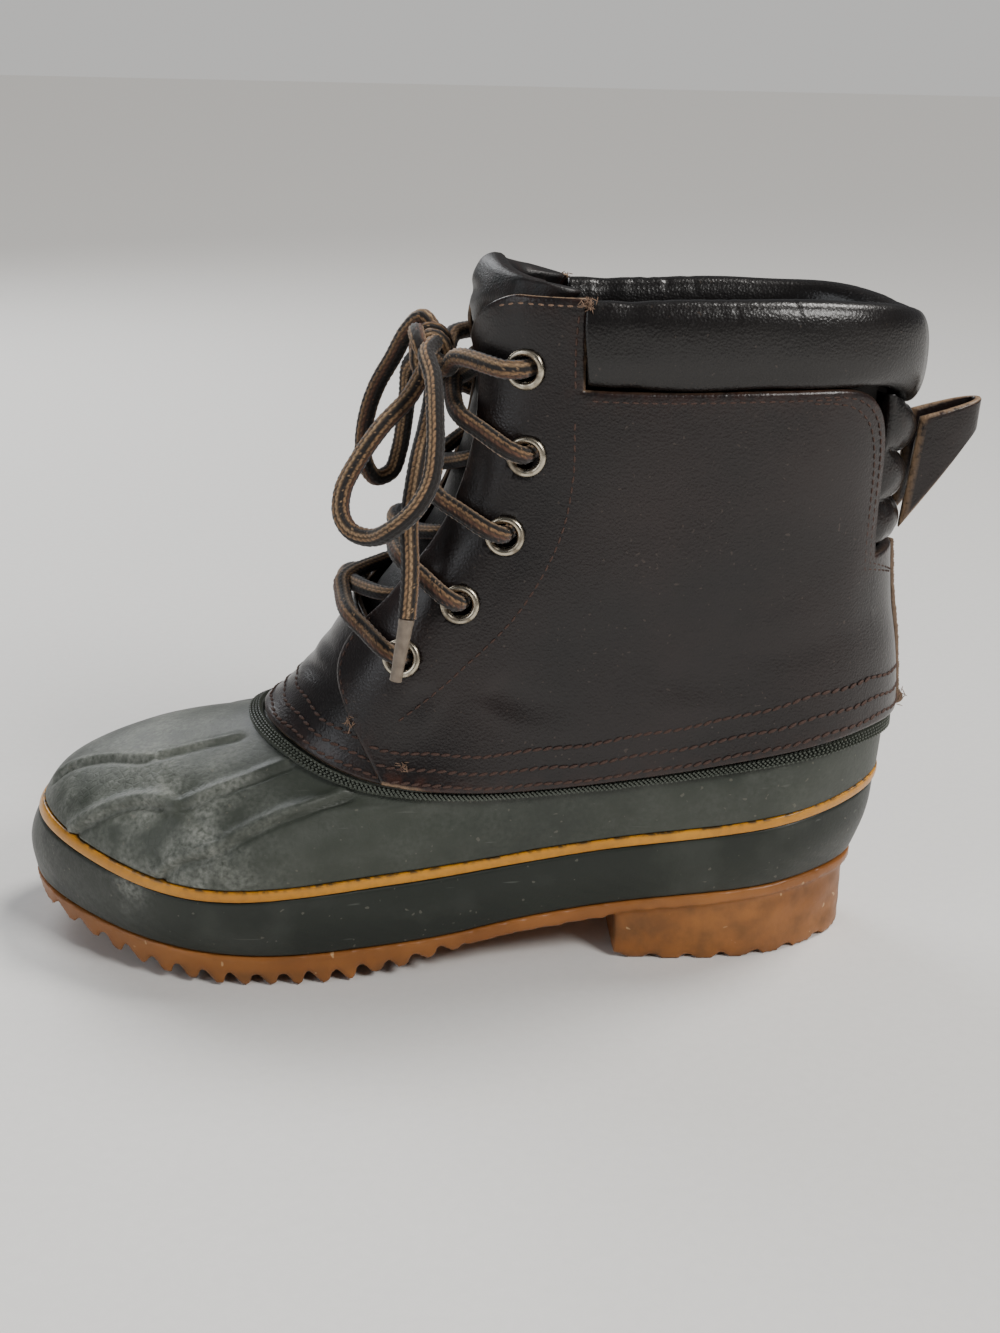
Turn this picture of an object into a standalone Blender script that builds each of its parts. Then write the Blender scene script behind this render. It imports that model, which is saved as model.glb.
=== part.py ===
"""A left duck boot: rubber shell on a gum sole, laced leather upper, padded collar.

Metres, +Z up, +X towards the toe, +Y to the lateral side. The origin is the middle of the
heel's tread, on the floor. Every wall follows one surface, boot_surface(turn, level): turn
runs round the boot from the toe (0) by the lateral side to the back (1) and by the medial side
to the back (-1), and level climbs the rows of the tables below.
"""

import math

import bmesh
import bpy
import numpy as np
from mathutils import Matrix, Vector

MM = 0.001

# Driving dimensions
OUTSOLE_LENGTH = 265 * MM
BALL_WIDTH = 96 * MM
BOOT_HEIGHT = 206 * MM
HEEL_HEIGHT = 24.5 * MM
HEEL_LENGTH = 77 * MM

# Walls and clearances
CLEAR = 0.3 * MM
RUBBER_WALL = 2.4 * MM
FOXING_WALL = 2.0 * MM
STRIPE_HEIGHT = 3.4 * MM
STRIPE_PROUD = 0.7 * MM
RIM_BAND_HEIGHT = 5.0 * MM
RIM_BAND_WALL = 1.3 * MM
RIM_BAND_GAP = 1.0 * MM
RUBBER_UNDER_LEATHER = 10 * MM
RUBBER_TUCK = 1.2 * MM
LEATHER_WALL = 1.9 * MM
QUARTER_STEP = 1.5 * MM
TONGUE_WALL = 5.0 * MM
TONGUE_DEPTH = 3.2 * MM
TONGUE_BASE_DEPTH = 1.2 * MM
INSOLE_THICKNESS = 4.0 * MM

# Sole; the root of a tooth is a share of the sole's thickness there
PLATE_THICKNESS = 4.0 * MM
SHANK_THICKNESS = 5.0 * MM
TOOTH_PITCH = 8.0 * MM
TOOTH_ROOT = 0.52
HEEL_FRONT = 0.52 * HEEL_LENGTH
HEEL_INSET = 2.0 * MM
HEEL_LUG_DEPTH = 1.0 * MM
HEEL_LUG_PITCH = 11.0 * MM

# Columns round a closed loop, and the half width that the fullness columns scale
COLUMNS = 40
HALF_WIDTH = BALL_WIDTH / 2

# Top of the sole and line of the ground under its teeth
# x as a share of OUTSOLE_LENGTH, height as a share of HEEL_HEIGHT
SOLE_TOP = (
    (-0.17, 1.14), (-0.06, 1.06), (0.06, 0.95), (0.19, 0.78), (0.27, 0.67), (0.35, 0.53),
    (0.43, 0.45), (0.54, 0.39), (0.64, 0.44), (0.70, 0.50), (0.79, 0.625), (0.87, 0.73),
)
GROUND_LINE = (
    (0.30, 0.40), (0.36, 0.25), (0.42, 0.10), (0.48, 0.0), (0.59, 0.0), (0.64, 0.04),
    (0.70, 0.14), (0.755, 0.27), (0.80, 0.38), (0.87, 0.52),
)
# One tooth, heel to toe: share of the pitch, share of the depth
TOOTH_SHAPE = ((0.02, 0.0), (0.12, 1.0), (0.40, 1.0), (0.95, 0.12))
TEETH_FROM = 0.33
SHANK_FROM = 0.145

# Ends of each level: front x and back x over OUTSOLE_LENGTH, sideways place of the
# front over HALF_WIDTH (the toe points a little towards the medial side), and how far
# the level drops on the medial side, over BOOT_HEIGHT
LEVELS = ("feather", "bulge", "stripe", "low toe", "high toe", "rim",
          "instep", "throat", "ankle", "collar seam", "collar top", "tongue top")
ENDS = (
    (0.850, -0.151, -0.17, 0.0),
    (0.853, -0.166, -0.17, 0.0),
    (0.838, -0.172, -0.17, 0.0),
    (0.809, -0.174, -0.16, 0.0),
    (0.725, -0.175, -0.13, 0.0),
    (0.563, -0.174, -0.06, 0.0),
    (0.478, -0.166, 0.0, 0.0),
    (0.445, -0.155, 0.0, 0.0),
    (0.372, -0.147, 0.0, 0.0),
    (0.330, -0.158, 0.0, 0.006),
    (0.332, -0.155, 0.0, 0.014),
    (0.298, -0.143, 0.0, 0.014),
)

# Heights over BOOT_HEIGHT at these turns; the first two levels follow the sole
HEIGHT_TURNS = (0.0, 0.15, 0.30, 0.45, 0.60, 0.80, 1.0)
HEIGHTS = (
    (0.194, 0.184, 0.155, 0.164, 0.200, 0.245, 0.268),
    (0.248, 0.235, 0.209, 0.211, 0.235, 0.284, 0.308),
    (0.303, 0.294, 0.269, 0.262, 0.279, 0.325, 0.342),
    (0.353, 0.339, 0.300, 0.300, 0.328, 0.371, 0.371),
    (0.476, 0.466, 0.417, 0.403, 0.427, 0.471, 0.471),
    (0.553, 0.544, 0.519, 0.510, 0.519, 0.549, 0.553),
    (0.689, 0.684, 0.675, 0.670, 0.675, 0.689, 0.689),
    (0.893, 0.888, 0.881, 0.879, 0.883, 0.879, 0.835),
    (1.002, 1.002, 1.002, 1.002, 1.005, 0.995, 0.971),
    (1.083, 1.074, 1.060, 1.050, 1.050, 1.040, 1.020),
)

# Fullness: half width of each level over HALF_WIDTH, before the loop closes at its ends
FULLNESS_TURNS = (0.15, 0.30, 0.45, 0.60, 0.80)
LATERAL = (
    (1.21, 1.19, 0.90, 0.72, 0.97),
    (1.27, 1.26, 0.92, 0.75, 1.03),
    (1.37, 1.30, 0.89, 0.75, 1.04),
    (1.37, 1.30, 0.89, 0.77, 1.08),
    (1.24, 1.11, 0.81, 0.79, 1.07),
    (1.15, 0.97, 0.77, 0.78, 0.99),
    (1.17, 0.87, 0.75, 0.75, 0.92),
    (1.10, 0.85, 0.73, 0.74, 0.88),
    (1.02, 0.83, 0.73, 0.75, 0.83),
    (1.00, 0.84, 0.73, 0.75, 0.85),
    (1.00, 0.84, 0.74, 0.76, 0.86),
    (1.00, 0.84, 0.74, 0.76, 0.86),
)
MEDIAL = (
    (1.26, 1.13, 0.74, 0.61, 0.94),
    (1.30, 1.19, 0.77, 0.65, 1.00),
    (1.29, 1.17, 0.78, 0.68, 1.02),
    (1.28, 1.15, 0.78, 0.70, 1.04),
    (1.10, 0.99, 0.76, 0.73, 1.06),
    (1.15, 0.92, 0.74, 0.75, 0.99),
    (1.17, 0.85, 0.73, 0.73, 0.92),
    (1.10, 0.85, 0.72, 0.73, 0.88),
    (1.02, 0.83, 0.73, 0.75, 0.83),
    (0.98, 0.81, 0.70, 0.72, 0.84),
    (0.96, 0.80, 0.70, 0.72, 0.85),
    (0.96, 0.80, 0.70, 0.72, 0.85),
)

STRIPE = LEVELS.index("stripe")
RIM = LEVELS.index("rim")
THROAT = LEVELS.index("throat")
COLLAR_SEAM = LEVELS.index("collar seam")
COLLAR_TOP = LEVELS.index("collar top")
TONGUE_TOP = LEVELS.index("tongue top")

# Front edge of the quarters, bottom to top: height over BOOT_HEIGHT, x over OUTSOLE_LENGTH
EYESTAY_EDGE = (
    (0.28, 0.415), (0.34, 0.438), (0.40, 0.458), (0.45, 0.467), (0.50, 0.450),
    (0.57, 0.405), (0.66, 0.355), (0.78, 0.320), (0.88, 0.312), (0.96, 0.316), (1.00, 0.300),
)
VAMP_TOP_RISE = 0.25
COLLAR_FRONT_X = 0.211 * OUTSOLE_LENGTH
BACK_NOTCH_FROM = 0.68
BACK_NOTCH_TO = 0.84
BACK_NOTCH_LEVEL = 7.6

# Eyelets from the top pair down: x over OUTSOLE_LENGTH, height over BOOT_HEIGHT
EYELETS = ((0.269, 0.905), (0.268, 0.786), (0.290, 0.673), (0.338, 0.573), (0.399, 0.490))
EYELET_OUTER = 5.8 * MM
EYELET_BORE = 3.7 * MM
EYELET_WALL = 0.7 * MM
EYELET_FLANGE = 1.2 * MM
EYELET_LIP = 0.6 * MM
EYELET_DRILL = 16 * MM
EYELET_SIDES = 10

LACE_RADIUS = 2.7 * MM
AGLET_RADIUS = 2.3 * MM
LACE_OVER_FLAP = 10.0 * MM
LACE_OVER_EDGE = 10.0 * MM
LACE_OVER_TONGUE = 1.8 * MM
LACE_OVER_VAMP = 5.4 * MM

# The bow: places of the knot and routes of its cords, in mm, chosen by hand
KNOT_CENTRE = (98.2, 2, 185)
KNOT_RADII = (6.3, 10, 8.5)
BOW = {
    "lace_loop_near": (
        (100, 7, 182), (105, 11.5, 174), (112.7, 16.5, 166.5), (119.6, 19, 157),
        (123.9, 22, 149), (124.4, 25, 142.4), (121.5, 29, 138.5), (115.5, 34, 138),
        (109.5, 41, 142.5), (103, 43, 149), (99, 40.5, 156), (97.7, 37, 164.5),
        (97.7, 31, 173), (98.2, 22, 181.5), (100, 13, 187), (97, 4, 189),
    ),
    "lace_loop_far": (
        (97, -1, 190), (101, -4, 194.6), (105.6, -7, 190), (109.7, -10, 182), (114.6, -12, 173),
        (117.4, -13, 165), (118.9, -14, 156), (118.4, -15.5, 148), (115, -19.5, 142.5),
        (110.3, -22.5, 144), (107.9, -22, 151), (106.5, -18, 160), (105.5, -11.5, 171),
        (104.8, -6, 180), (101.5, 0, 185),
    ),
    "lace_end_near": (
        (97.5, 1, 178), (98.5, 7, 171.5), (100, 14, 165.5), (102, 20.5, 159), (103.5, 26.5, 152),
        (104.5, 31, 146), (104.8, 35, 139.5), (104.5, 38.5, 132), (104.7, 41.5, 125),
        (105.4, 43.6, 117),
    ),
    "lace_end_far": (
        (96.5, -4, 178.5), (97, -12.5, 172), (97, -22, 165), (96.5, -32, 156), (97.5, -39.5, 147),
        (97.5, -44, 138), (98.5, -46.5, 128), (99.5, -48, 119), (100.5, -49, 112),
    ),
}
AGLETS = {
    "aglet_near": ((105.5, 43.8, 116.5), (108.6, 46.2, 99)),
    "aglet_far": ((100.7, -49.1, 111.4), (102.5, -50, 94)),
}

# Collar pad, back rolls, seam and pull loop
COLLAR_PAD = 11.5 * MM
COLLAR_CENTRE = 0.5 * MM
ROLL_REST = 1.2 * MM
ROLL_DEPTH = 4.6 * MM
ROLL_BACK = 4.0 * MM
SEAM_DEPTH = 2.0 * MM
STRAP_WALL = 2.0 * MM
LOOP_HALF_WIDTH = 6.0 * MM
# Corners of the loop in side view: x over OUTSOLE_LENGTH, z over BOOT_HEIGHT
LOOP_ROOT_TOP = Vector((-0.1795 * OUTSOLE_LENGTH, 0.820 * BOOT_HEIGHT))
LOOP_ROOT_LOW = Vector((-0.1665 * OUTSOLE_LENGTH, 0.655 * BOOT_HEIGHT))
LOOP_TIP_TOP = Vector((-0.250 * OUTSOLE_LENGTH, 0.845 * BOOT_HEIGHT))
LOOP_TIP_LOW = Vector((-0.248 * OUTSOLE_LENGTH, 0.800 * BOOT_HEIGHT))


def spline(knots, values, at, ends=0.0):
    """Cubic through the values; ends scales the slope that it has at both ends."""
    knots = np.asarray(knots, float)
    values = np.asarray(values, float)
    at = np.clip(np.asarray(at, float), knots[0], knots[-1])
    slopes = np.gradient(values, knots)
    slopes[0] *= ends
    slopes[-1] *= ends
    cell = np.clip(np.searchsorted(knots, at, side="right") - 1, 0, len(knots) - 2)
    width = knots[cell + 1] - knots[cell]
    s = (at - knots[cell]) / width
    low, high = values[cell], values[cell + 1]
    return (low * (1 + 2 * s) * (1 - s) ** 2 + high * s * s * (3 - 2 * s)
            + width * (slopes[cell] * s * (1 - s) ** 2 - slopes[cell + 1] * s * s * (1 - s)))


def sole_top(x):
    """Height of the sole's upper face at x."""
    table = np.array(SOLE_TOP)
    return HEEL_HEIGHT * spline(table[:, 0], table[:, 1], np.asarray(x) / OUTSOLE_LENGTH, 1.0)


def ground_line(x):
    """Height of the tips of the teeth at x."""
    table = np.array(GROUND_LINE)
    rise = spline(table[:, 0], table[:, 1], np.asarray(x) / OUTSOLE_LENGTH, 1.0)
    return HEEL_HEIGHT * np.maximum(rise, 0.0)


def loop_points(level, turn):
    """Points of one level's closed loop at the given turns."""
    away = np.abs(turn)
    front, back, shift, drop = ENDS[level]
    x = OUTSOLE_LENGTH * (back + (front - back) * (1 + np.cos(math.pi * away)) / 2)
    lateral = spline(FULLNESS_TURNS, LATERAL[level], away)
    medial = spline(FULLNESS_TURNS, MEDIAL[level], away)
    fade = np.clip(away / 0.45, 0, 1)
    middle = shift * (1 - fade * fade * (3 - 2 * fade))
    half = np.where(turn >= 0, lateral, -medial) * np.sin(math.pi * away)
    y = HALF_WIDTH * (middle + half)
    if level >= STRIPE:
        z = BOOT_HEIGHT * spline(HEIGHT_TURNS, HEIGHTS[level - STRIPE], away)
    else:
        z = sole_top(x)
        if level == 1:
            z = (z + BOOT_HEIGHT * spline(HEIGHT_TURNS, HEIGHTS[0], away)) / 2
    z = z - np.where(turn < 0, BOOT_HEIGHT * drop * np.sin(math.pi * away), 0.0)
    return np.stack([x, y, z], -1)


def boot_surface(turn, level):
    """Point of the boot's surface, read from a smooth curve through the levels."""
    turn = np.atleast_1d(np.asarray(turn, float))
    turn = (turn + 1) % 2 - 1
    level = np.broadcast_to(np.asarray(level, float), turn.shape)
    level = np.clip(level, 0, len(LEVELS) - 1.001)
    loops = np.stack([loop_points(k, turn) for k in range(len(LEVELS))])
    loops = np.concatenate([[2 * loops[0] - loops[1]], loops, [2 * loops[-1] - loops[-2]]])
    cell = np.floor(level).astype(int)
    pick = np.arange(len(turn))
    p0, p1, p2, p3 = (loops[cell + k, pick] for k in range(4))
    gap = [np.maximum(np.linalg.norm(b - a, axis=1) ** 0.5, 1e-4)[:, None]
           for a, b in ((p0, p1), (p1, p2), (p2, p3))]
    s = (level - cell)[:, None]
    in_slope = (p1 - p0) / gap[0] - (p2 - p0) / (gap[0] + gap[1]) + (p2 - p1) / gap[1]
    out_slope = (p2 - p1) / gap[1] - (p3 - p1) / (gap[1] + gap[2]) + (p3 - p2) / gap[2]
    in_slope, out_slope = in_slope * gap[1], out_slope * gap[1]
    return (p1 * (1 + 2 * s) * (1 - s) ** 2 + p2 * s * s * (3 - 2 * s)
            + in_slope * s * (1 - s) ** 2 - out_slope * s * s * (1 - s))


def surface_normal(turn, level):
    """Outward normal of the boot's surface."""
    turn = np.atleast_1d(np.asarray(turn, float))
    level = np.broadcast_to(np.asarray(level, float), turn.shape)
    low = np.clip(level - 0.02, 0, None)
    round_way = boot_surface(turn + 0.004, level) - boot_surface(turn - 0.004, level)
    up_way = boot_surface(turn, level + 0.02) - boot_surface(turn, low)
    normal = np.cross(round_way, up_way)
    return normal / np.linalg.norm(normal, axis=1)[:, None]


def offset_point(turn, level, offset):
    """Point at a distance off the surface, kept above the sole."""
    point = boot_surface(turn, level) + surface_normal(turn, level) * np.reshape(offset, (-1, 1))
    point[:, 2] = np.maximum(point[:, 2], sole_top(point[:, 0]) + CLEAR)
    return point


def solve(test, low, high):
    """Bisection on arrays: where test goes from negative to positive."""
    for _ in range(26):
        middle = (low + high) / 2
        above = test(middle) > 0
        high = np.where(above, middle, high)
        low = np.where(above, low, middle)
    return (low + high) / 2


def level_above(turn, level, rise):
    """Level that lies the given height above another one."""
    turn = np.atleast_1d(np.asarray(turn, float))
    aim = boot_surface(turn, level)[:, 2] + rise
    low = np.full(turn.shape, max(level - 1.5, 0.0))
    high = np.full(turn.shape, level + 1.5)
    return solve(lambda v: boot_surface(turn, v)[:, 2] - aim, low, high)


def level_along(turn, level, distance):
    """Level at a distance up the surface from another one, or down it if negative."""
    turn = np.atleast_1d(np.asarray(turn, float))
    start = boot_surface(turn, level)
    reach = math.copysign(1.4, distance)

    def far(share):
        gap = boot_surface(turn, level + reach * share) - start
        return np.linalg.norm(gap, axis=1) - abs(distance)
    low = np.zeros(turn.shape)
    return level + reach * solve(far, low, low + 1.0)


def turn_at_x(x, level, side):
    """Turn on one side at which a level passes x."""
    level = np.atleast_1d(np.asarray(level, float))
    x = np.broadcast_to(x, level.shape)
    low = np.zeros(level.shape)
    found = solve(lambda t: x - boot_surface(side * t, level)[:, 0], low, low + 1.0)
    return side * found


def eyestay_turn(level, side):
    """Turn of the quarter's front edge on one side."""
    table = np.array(EYESTAY_EDGE)
    level = np.atleast_1d(np.asarray(level, float))

    def ahead(t):
        point = boot_surface(side * t, level)
        edge = OUTSOLE_LENGTH * spline(table[:, 0], table[:, 1], point[:, 2] / BOOT_HEIGHT, 1.0)
        return edge - point[:, 0]
    low = np.zeros(level.shape)
    return side * solve(ahead, low, low + 0.6)


def surface_places(x, z, side):
    """Turns and levels of the surface points with the given x and z, on their sides."""
    level = np.full(x.shape, float(THROAT))
    low, high = np.full(x.shape, float(STRIPE)), np.full(x.shape, TONGUE_TOP - 0.01)
    for _ in range(12):
        turn = turn_at_x(x, level, side)
        level = solve(lambda v: boot_surface(turn, v)[:, 2] - z, low, high)
    return turn, level


# Materials: base colour, roughness, metallic
FINISHES = {
    "gum rubber": ((0.42, 0.17, 0.05, 1), 0.55, 0.0),
    "dark rubber": ((0.055, 0.065, 0.055, 1), 0.6, 0.0),
    "foxing rubber": ((0.035, 0.045, 0.04, 1), 0.55, 0.0),
    "amber rubber": ((0.75, 0.33, 0.04, 1), 0.45, 0.0),
    "brown leather": ((0.035, 0.025, 0.022, 1), 0.45, 0.0),
    "collar leather": ((0.012, 0.012, 0.013, 1), 0.35, 0.0),
    "raw leather": ((0.16, 0.10, 0.065, 1), 0.8, 0.0),
    "felt": ((0.25, 0.22, 0.18, 1), 0.9, 0.0),
    "old nickel": ((0.45, 0.40, 0.33, 1), 0.3, 1.0),
    "lace cord": ((0.20, 0.13, 0.08, 1), 0.85, 0.0),
    "lace tip": ((0.35, 0.31, 0.27, 1), 0.5, 0.0),
}


def finish(name):
    """Principled material with the named finish, made once."""
    material = bpy.data.materials.get(name)
    if material:
        return material
    colour, roughness, metallic = FINISHES[name]
    material = bpy.data.materials.new(name)
    material.use_nodes = True
    shader = material.node_tree.nodes["Principled BSDF"]
    shader.inputs["Base Color"].default_value = colour
    shader.inputs["Roughness"].default_value = roughness
    shader.inputs["Metallic"].default_value = metallic
    return material


def new_object(name, mesh, finish_name, collection):
    """Object of a mesh, smooth but for its sharp edges."""
    mesh.name = name
    mesh.shade_smooth()
    mesh.set_sharp_from_angle(angle=math.radians(35))
    obj = bpy.data.objects.new(name, mesh)
    collection.objects.link(obj)
    if finish_name:
        mesh.materials.clear()
        mesh.materials.append(finish(finish_name))
    return obj


def mesh_of(curve_obj):
    """Welded mesh of a curve object, which is removed."""
    bpy.context.view_layer.update()
    graph = bpy.context.evaluated_depsgraph_get()
    mesh = bpy.data.meshes.new_from_object(curve_obj.evaluated_get(graph))
    mesh.transform(curve_obj.matrix_world)
    shape = bmesh.new()
    shape.from_mesh(mesh)
    bmesh.ops.remove_doubles(shape, verts=shape.verts, dist=0.01 * MM)
    shape.to_mesh(mesh)
    shape.free()
    bpy.data.objects.remove(curve_obj)
    return mesh


def prism(name, outline, thickness, collection, upright=False):
    """Flat outline with a thickness, lying on the floor plane or standing along X."""
    curve = bpy.data.curves.new(name, "CURVE")
    curve.dimensions = "2D"
    curve.fill_mode = "BOTH"
    curve.extrude = thickness / 2
    line = curve.splines.new("POLY")
    line.points.add(len(outline) - 1)
    for point, (u, v) in zip(line.points, outline):
        point.co = (u, v, 0, 1)
    line.use_cyclic_u = True
    obj = bpy.data.objects.new(name, curve)
    collection.objects.link(obj)
    if upright:
        obj.rotation_euler.x = math.pi / 2
    return new_object(name, mesh_of(obj), None, collection)


def tube(name, points, radius, collection, finish_name=None, sides=2):
    """Round cord with closed ends through the given points."""
    curve = bpy.data.curves.new(name, "CURVE")
    curve.dimensions = "3D"
    curve.bevel_depth = radius
    curve.bevel_resolution = sides
    curve.use_fill_caps = True
    line = curve.splines.new("POLY")
    line.points.add(len(points) - 1)
    for point, place in zip(line.points, points):
        point.co = (*place, 1)
    obj = bpy.data.objects.new(name, curve)
    collection.objects.link(obj)
    return new_object(name, mesh_of(obj), finish_name, collection)


def smooth_path(route, count):
    """Evenly spread points on a smooth curve through the route's own points."""
    route = np.asarray(route, float)
    steps = np.linalg.norm(np.diff(route, axis=0), axis=1) ** 0.5
    knots = np.concatenate([[0], np.cumsum(steps)])
    fine = np.linspace(0, knots[-1], 40 * len(route))
    curve = np.stack([spline(knots, route[:, k], fine, 1.0) for k in range(3)], -1)
    run = np.concatenate([[0], np.cumsum(np.linalg.norm(np.diff(curve, axis=0), axis=1))])
    at = np.linspace(0, run[-1], count)
    return np.stack([np.interp(at, run, curve[:, k]) for k in range(3)], -1)


def combine(obj, other, operation):
    """Boolean of an object with a tool that the build leaves out."""
    other.hide_render = True
    other.display_type = "WIRE"
    modifier = obj.modifiers.new(operation.title(), "BOOLEAN")
    modifier.operation = operation
    modifier.solver = "EXACT"
    modifier.object = other


class Pattern:
    """Cells laid on the boot's surface, in one or two plies, and made solid by offsets."""

    def __init__(self):
        self.index = {}
        self.places = []
        self.cells = []

    def point(self, turn, level):
        turn = (turn + 1) % 2 - 1
        if abs(turn + 1) < 1e-6:
            turn = 1.0
        key = (round(turn, 5), round(level, 5))
        if key not in self.index:
            self.index[key] = len(self.places)
            self.places.append((turn, level))
        return self.index[key]

    def add_grid(self, rows, plies=1):
        ids = [[self.point(turn, level) for turn, level in row] for row in rows]
        for low, high in zip(ids, ids[1:]):
            for k in range(len(low) - 1):
                corners = [low[k], low[k + 1], high[k + 1], high[k]]
                corners = list(dict.fromkeys(corners))
                if len(corners) > 2:
                    self.cells.append((corners, plies))

    def solid(self, offsets):
        """Mesh between the first offset and the offset of each cell's plies."""
        turns, levels = np.array(self.places).T
        count = len(self.places)
        points = []
        for offset in offsets:
            distance = offset(turns, levels) if callable(offset) else np.full(count, offset)
            points.extend(map(tuple, offset_point(turns, levels, distance)))
        faces = []
        for corners, plies in self.cells:
            faces.append([k + plies * count for k in corners])
            faces.append(list(reversed(corners)))
        for ply in range(1, len(offsets)):
            used = {}
            for corners, plies in self.cells:
                if plies >= ply:
                    for a, b in zip(corners, corners[1:] + corners[:1]):
                        used[(a, b)] = used.get((a, b), 0) + 1
            top, below = ply * count, (ply - 1) * count
            for a, b in used:
                if (b, a) not in used:
                    faces.append([b + top, a + top, a + below, b + below])
        mesh = bpy.data.meshes.new("pattern")
        mesh.from_pydata(points, [], faces)
        shape = bmesh.new()
        shape.from_mesh(mesh)
        loose = [v for v in shape.verts if not v.link_faces]
        bmesh.ops.delete(shape, geom=loose, context="VERTS")
        shape.to_mesh(mesh)
        shape.free()
        return mesh


def ring(levels, offsets):
    """Band right round the boot; each level is a number or a function of the turn."""
    turns = np.linspace(-1, 1, COLUMNS + 1)
    rows = []
    for level in levels:
        heights = level(turns) if callable(level) else np.full(turns.shape, float(level))
        rows.append(list(zip(turns, heights)))
    pattern = Pattern()
    pattern.add_grid(rows)
    return pattern.solid(offsets)


def outline_at(inset, count):
    """Outline of the sole in plan, moved inwards by the inset."""
    turns = np.linspace(-1, 1, count, endpoint=False)
    flat = loop_points(0, turns)[:, :2]
    way = np.roll(flat, -1, axis=0) - np.roll(flat, 1, axis=0)
    out = np.stack([way[:, 1], -way[:, 0]], -1)
    out /= np.linalg.norm(out, axis=1)[:, None]
    return flat - out * inset


def make_outsole(parts, tools):
    """Unit sole: plate with teeth under the forefoot, thin shank and lugged heel block."""
    margin = HEEL_HEIGHT / 5
    tall = HEEL_HEIGHT * 4
    back = ENDS[0][1] * OUTSOLE_LENGTH - margin
    front = ENDS[0][0] * OUTSOLE_LENGTH + margin
    top = [(x, float(sole_top(x))) for x in np.linspace(front, back, 30)]
    under = []
    for x in np.linspace(back, SHANK_FROM * OUTSOLE_LENGTH, 8):
        under.append((x, float(sole_top(x)) - PLATE_THICKNESS))
    for x in np.linspace(SHANK_FROM + 0.02, TEETH_FROM, 6) * OUTSOLE_LENGTH:
        under.append((x, float(sole_top(x)) - SHANK_THICKNESS))
    start = TEETH_FROM * OUTSOLE_LENGTH
    for tooth in range(int((front - start) / TOOTH_PITCH)):
        for share, depth in TOOTH_SHAPE:
            x = start + (tooth + share) * TOOTH_PITCH
            total = float(sole_top(x) - ground_line(x))
            reach = TOOTH_ROOT + (1 - TOOTH_ROOT) * depth
            under.append((x, float(sole_top(x)) - total * reach))
    end = max(x for x, _ in under)
    if end < front:
        under.append((front, float(ground_line(front))))
    sole = prism("outsole", outline_at(0, 60), tall, parts)
    side = prism("sole_side", under + top, 3 * BALL_WIDTH, tools, upright=True)
    combine(sole, side, "INTERSECT")

    heel_back = HEEL_FRONT - HEEL_LENGTH
    block_end = heel_back - HEEL_LUG_PITCH
    block = []
    lugs_each_way = int(HEEL_LENGTH / HEEL_LUG_PITCH / 2)
    for lug in range(-lugs_each_way, lugs_each_way + 1):
        for share, drop in ((-0.36, 0), (-0.26, 1), (0.26, 1), (0.36, 0)):
            x = (lug + share) * HEEL_LUG_PITCH
            if x < HEEL_FRONT:
                block.append((x, HEEL_LUG_DEPTH * (1 - drop)))
    block.append((HEEL_FRONT, HEEL_LUG_DEPTH))
    block.append((HEEL_FRONT, float(sole_top(HEEL_FRONT)) - PLATE_THICKNESS / 2))
    block.append((block_end, float(sole_top(heel_back)) - PLATE_THICKNESS / 2))
    block.append((block_end, HEEL_LUG_DEPTH))
    heel = prism("heel_plan", outline_at(HEEL_INSET, 60), tall, tools)
    heel_side = prism("heel_side", block, 3 * BALL_WIDTH, tools, upright=True)
    combine(heel, heel_side, "INTERSECT")
    combine(sole, heel, "UNION")
    sole.data.materials.append(finish("gum rubber"))


def make_rubber(parts):
    """Foxing, stripe, hollow shell and the knurled band at the leather's edge."""
    def stripe_low(turn):
        return level_above(turn, STRIPE, -STRIPE_HEIGHT / 2)

    def stripe_high(turn):
        return level_above(turn, STRIPE, STRIPE_HEIGHT / 2)

    def foxing_top(turn):
        return level_above(turn, STRIPE, -STRIPE_HEIGHT / 2 - CLEAR)

    def shell_waist(turn):
        return level_above(turn, STRIPE, STRIPE_HEIGHT / 2 + CLEAR)

    def shell_step(turn):
        return level_above(turn, STRIPE, STRIPE_HEIGHT / 2 + 2 * CLEAR)

    foxing = ring((0.0, 1.0, foxing_top), (-FOXING_WALL, 0.0))
    new_object("foxing", foxing, "foxing rubber", parts)
    stripe = ring((stripe_low, stripe_high), (-FOXING_WALL, STRIPE_PROUD))
    new_object("stripe", stripe, "amber rubber", parts)

    inset = FOXING_WALL + CLEAR

    def outer(turn, level):
        wall = np.where(level > RIM + 1e-4, -RUBBER_TUCK, 0.0)
        return np.where(level < shell_waist(turn) + 1e-4, -inset, wall)

    def inner(turn, level):
        return outer(turn, level) - RUBBER_WALL

    def band_low(turn):
        return level_along(turn, RIM, -RIM_BAND_HEIGHT - RIM_BAND_GAP)

    def band_high(turn):
        return level_along(turn, RIM, -RIM_BAND_GAP)

    def tuck_start(turn):
        return level_along(turn, RIM, CLEAR)

    def shell_top(turn):
        return level_along(turn, RIM, RUBBER_UNDER_LEATHER)

    levels = (0.0, 1.0, foxing_top, shell_waist, shell_step,
              3.0, 3.5, 4.0, band_low, band_high, tuck_start, shell_top)
    new_object("rubber_shell", ring(levels, (inner, outer)), "dark rubber", parts)

    band = ring((band_low, band_high), (CLEAR, RIM_BAND_WALL))
    new_object("rim_band", band, "foxing rubber", parts)


def quarter_top(turn):
    """Level of the quarter's top edge behind the eyestay, with the notch at the back."""
    away = np.abs(np.atleast_1d(turn))
    share = np.clip((away - BACK_NOTCH_FROM) / (BACK_NOTCH_TO - BACK_NOTCH_FROM), 0, 1)
    return BACK_NOTCH_LEVEL + (COLLAR_SEAM - BACK_NOTCH_LEVEL) * (1 - share ** 3) ** (1 / 3)


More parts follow.
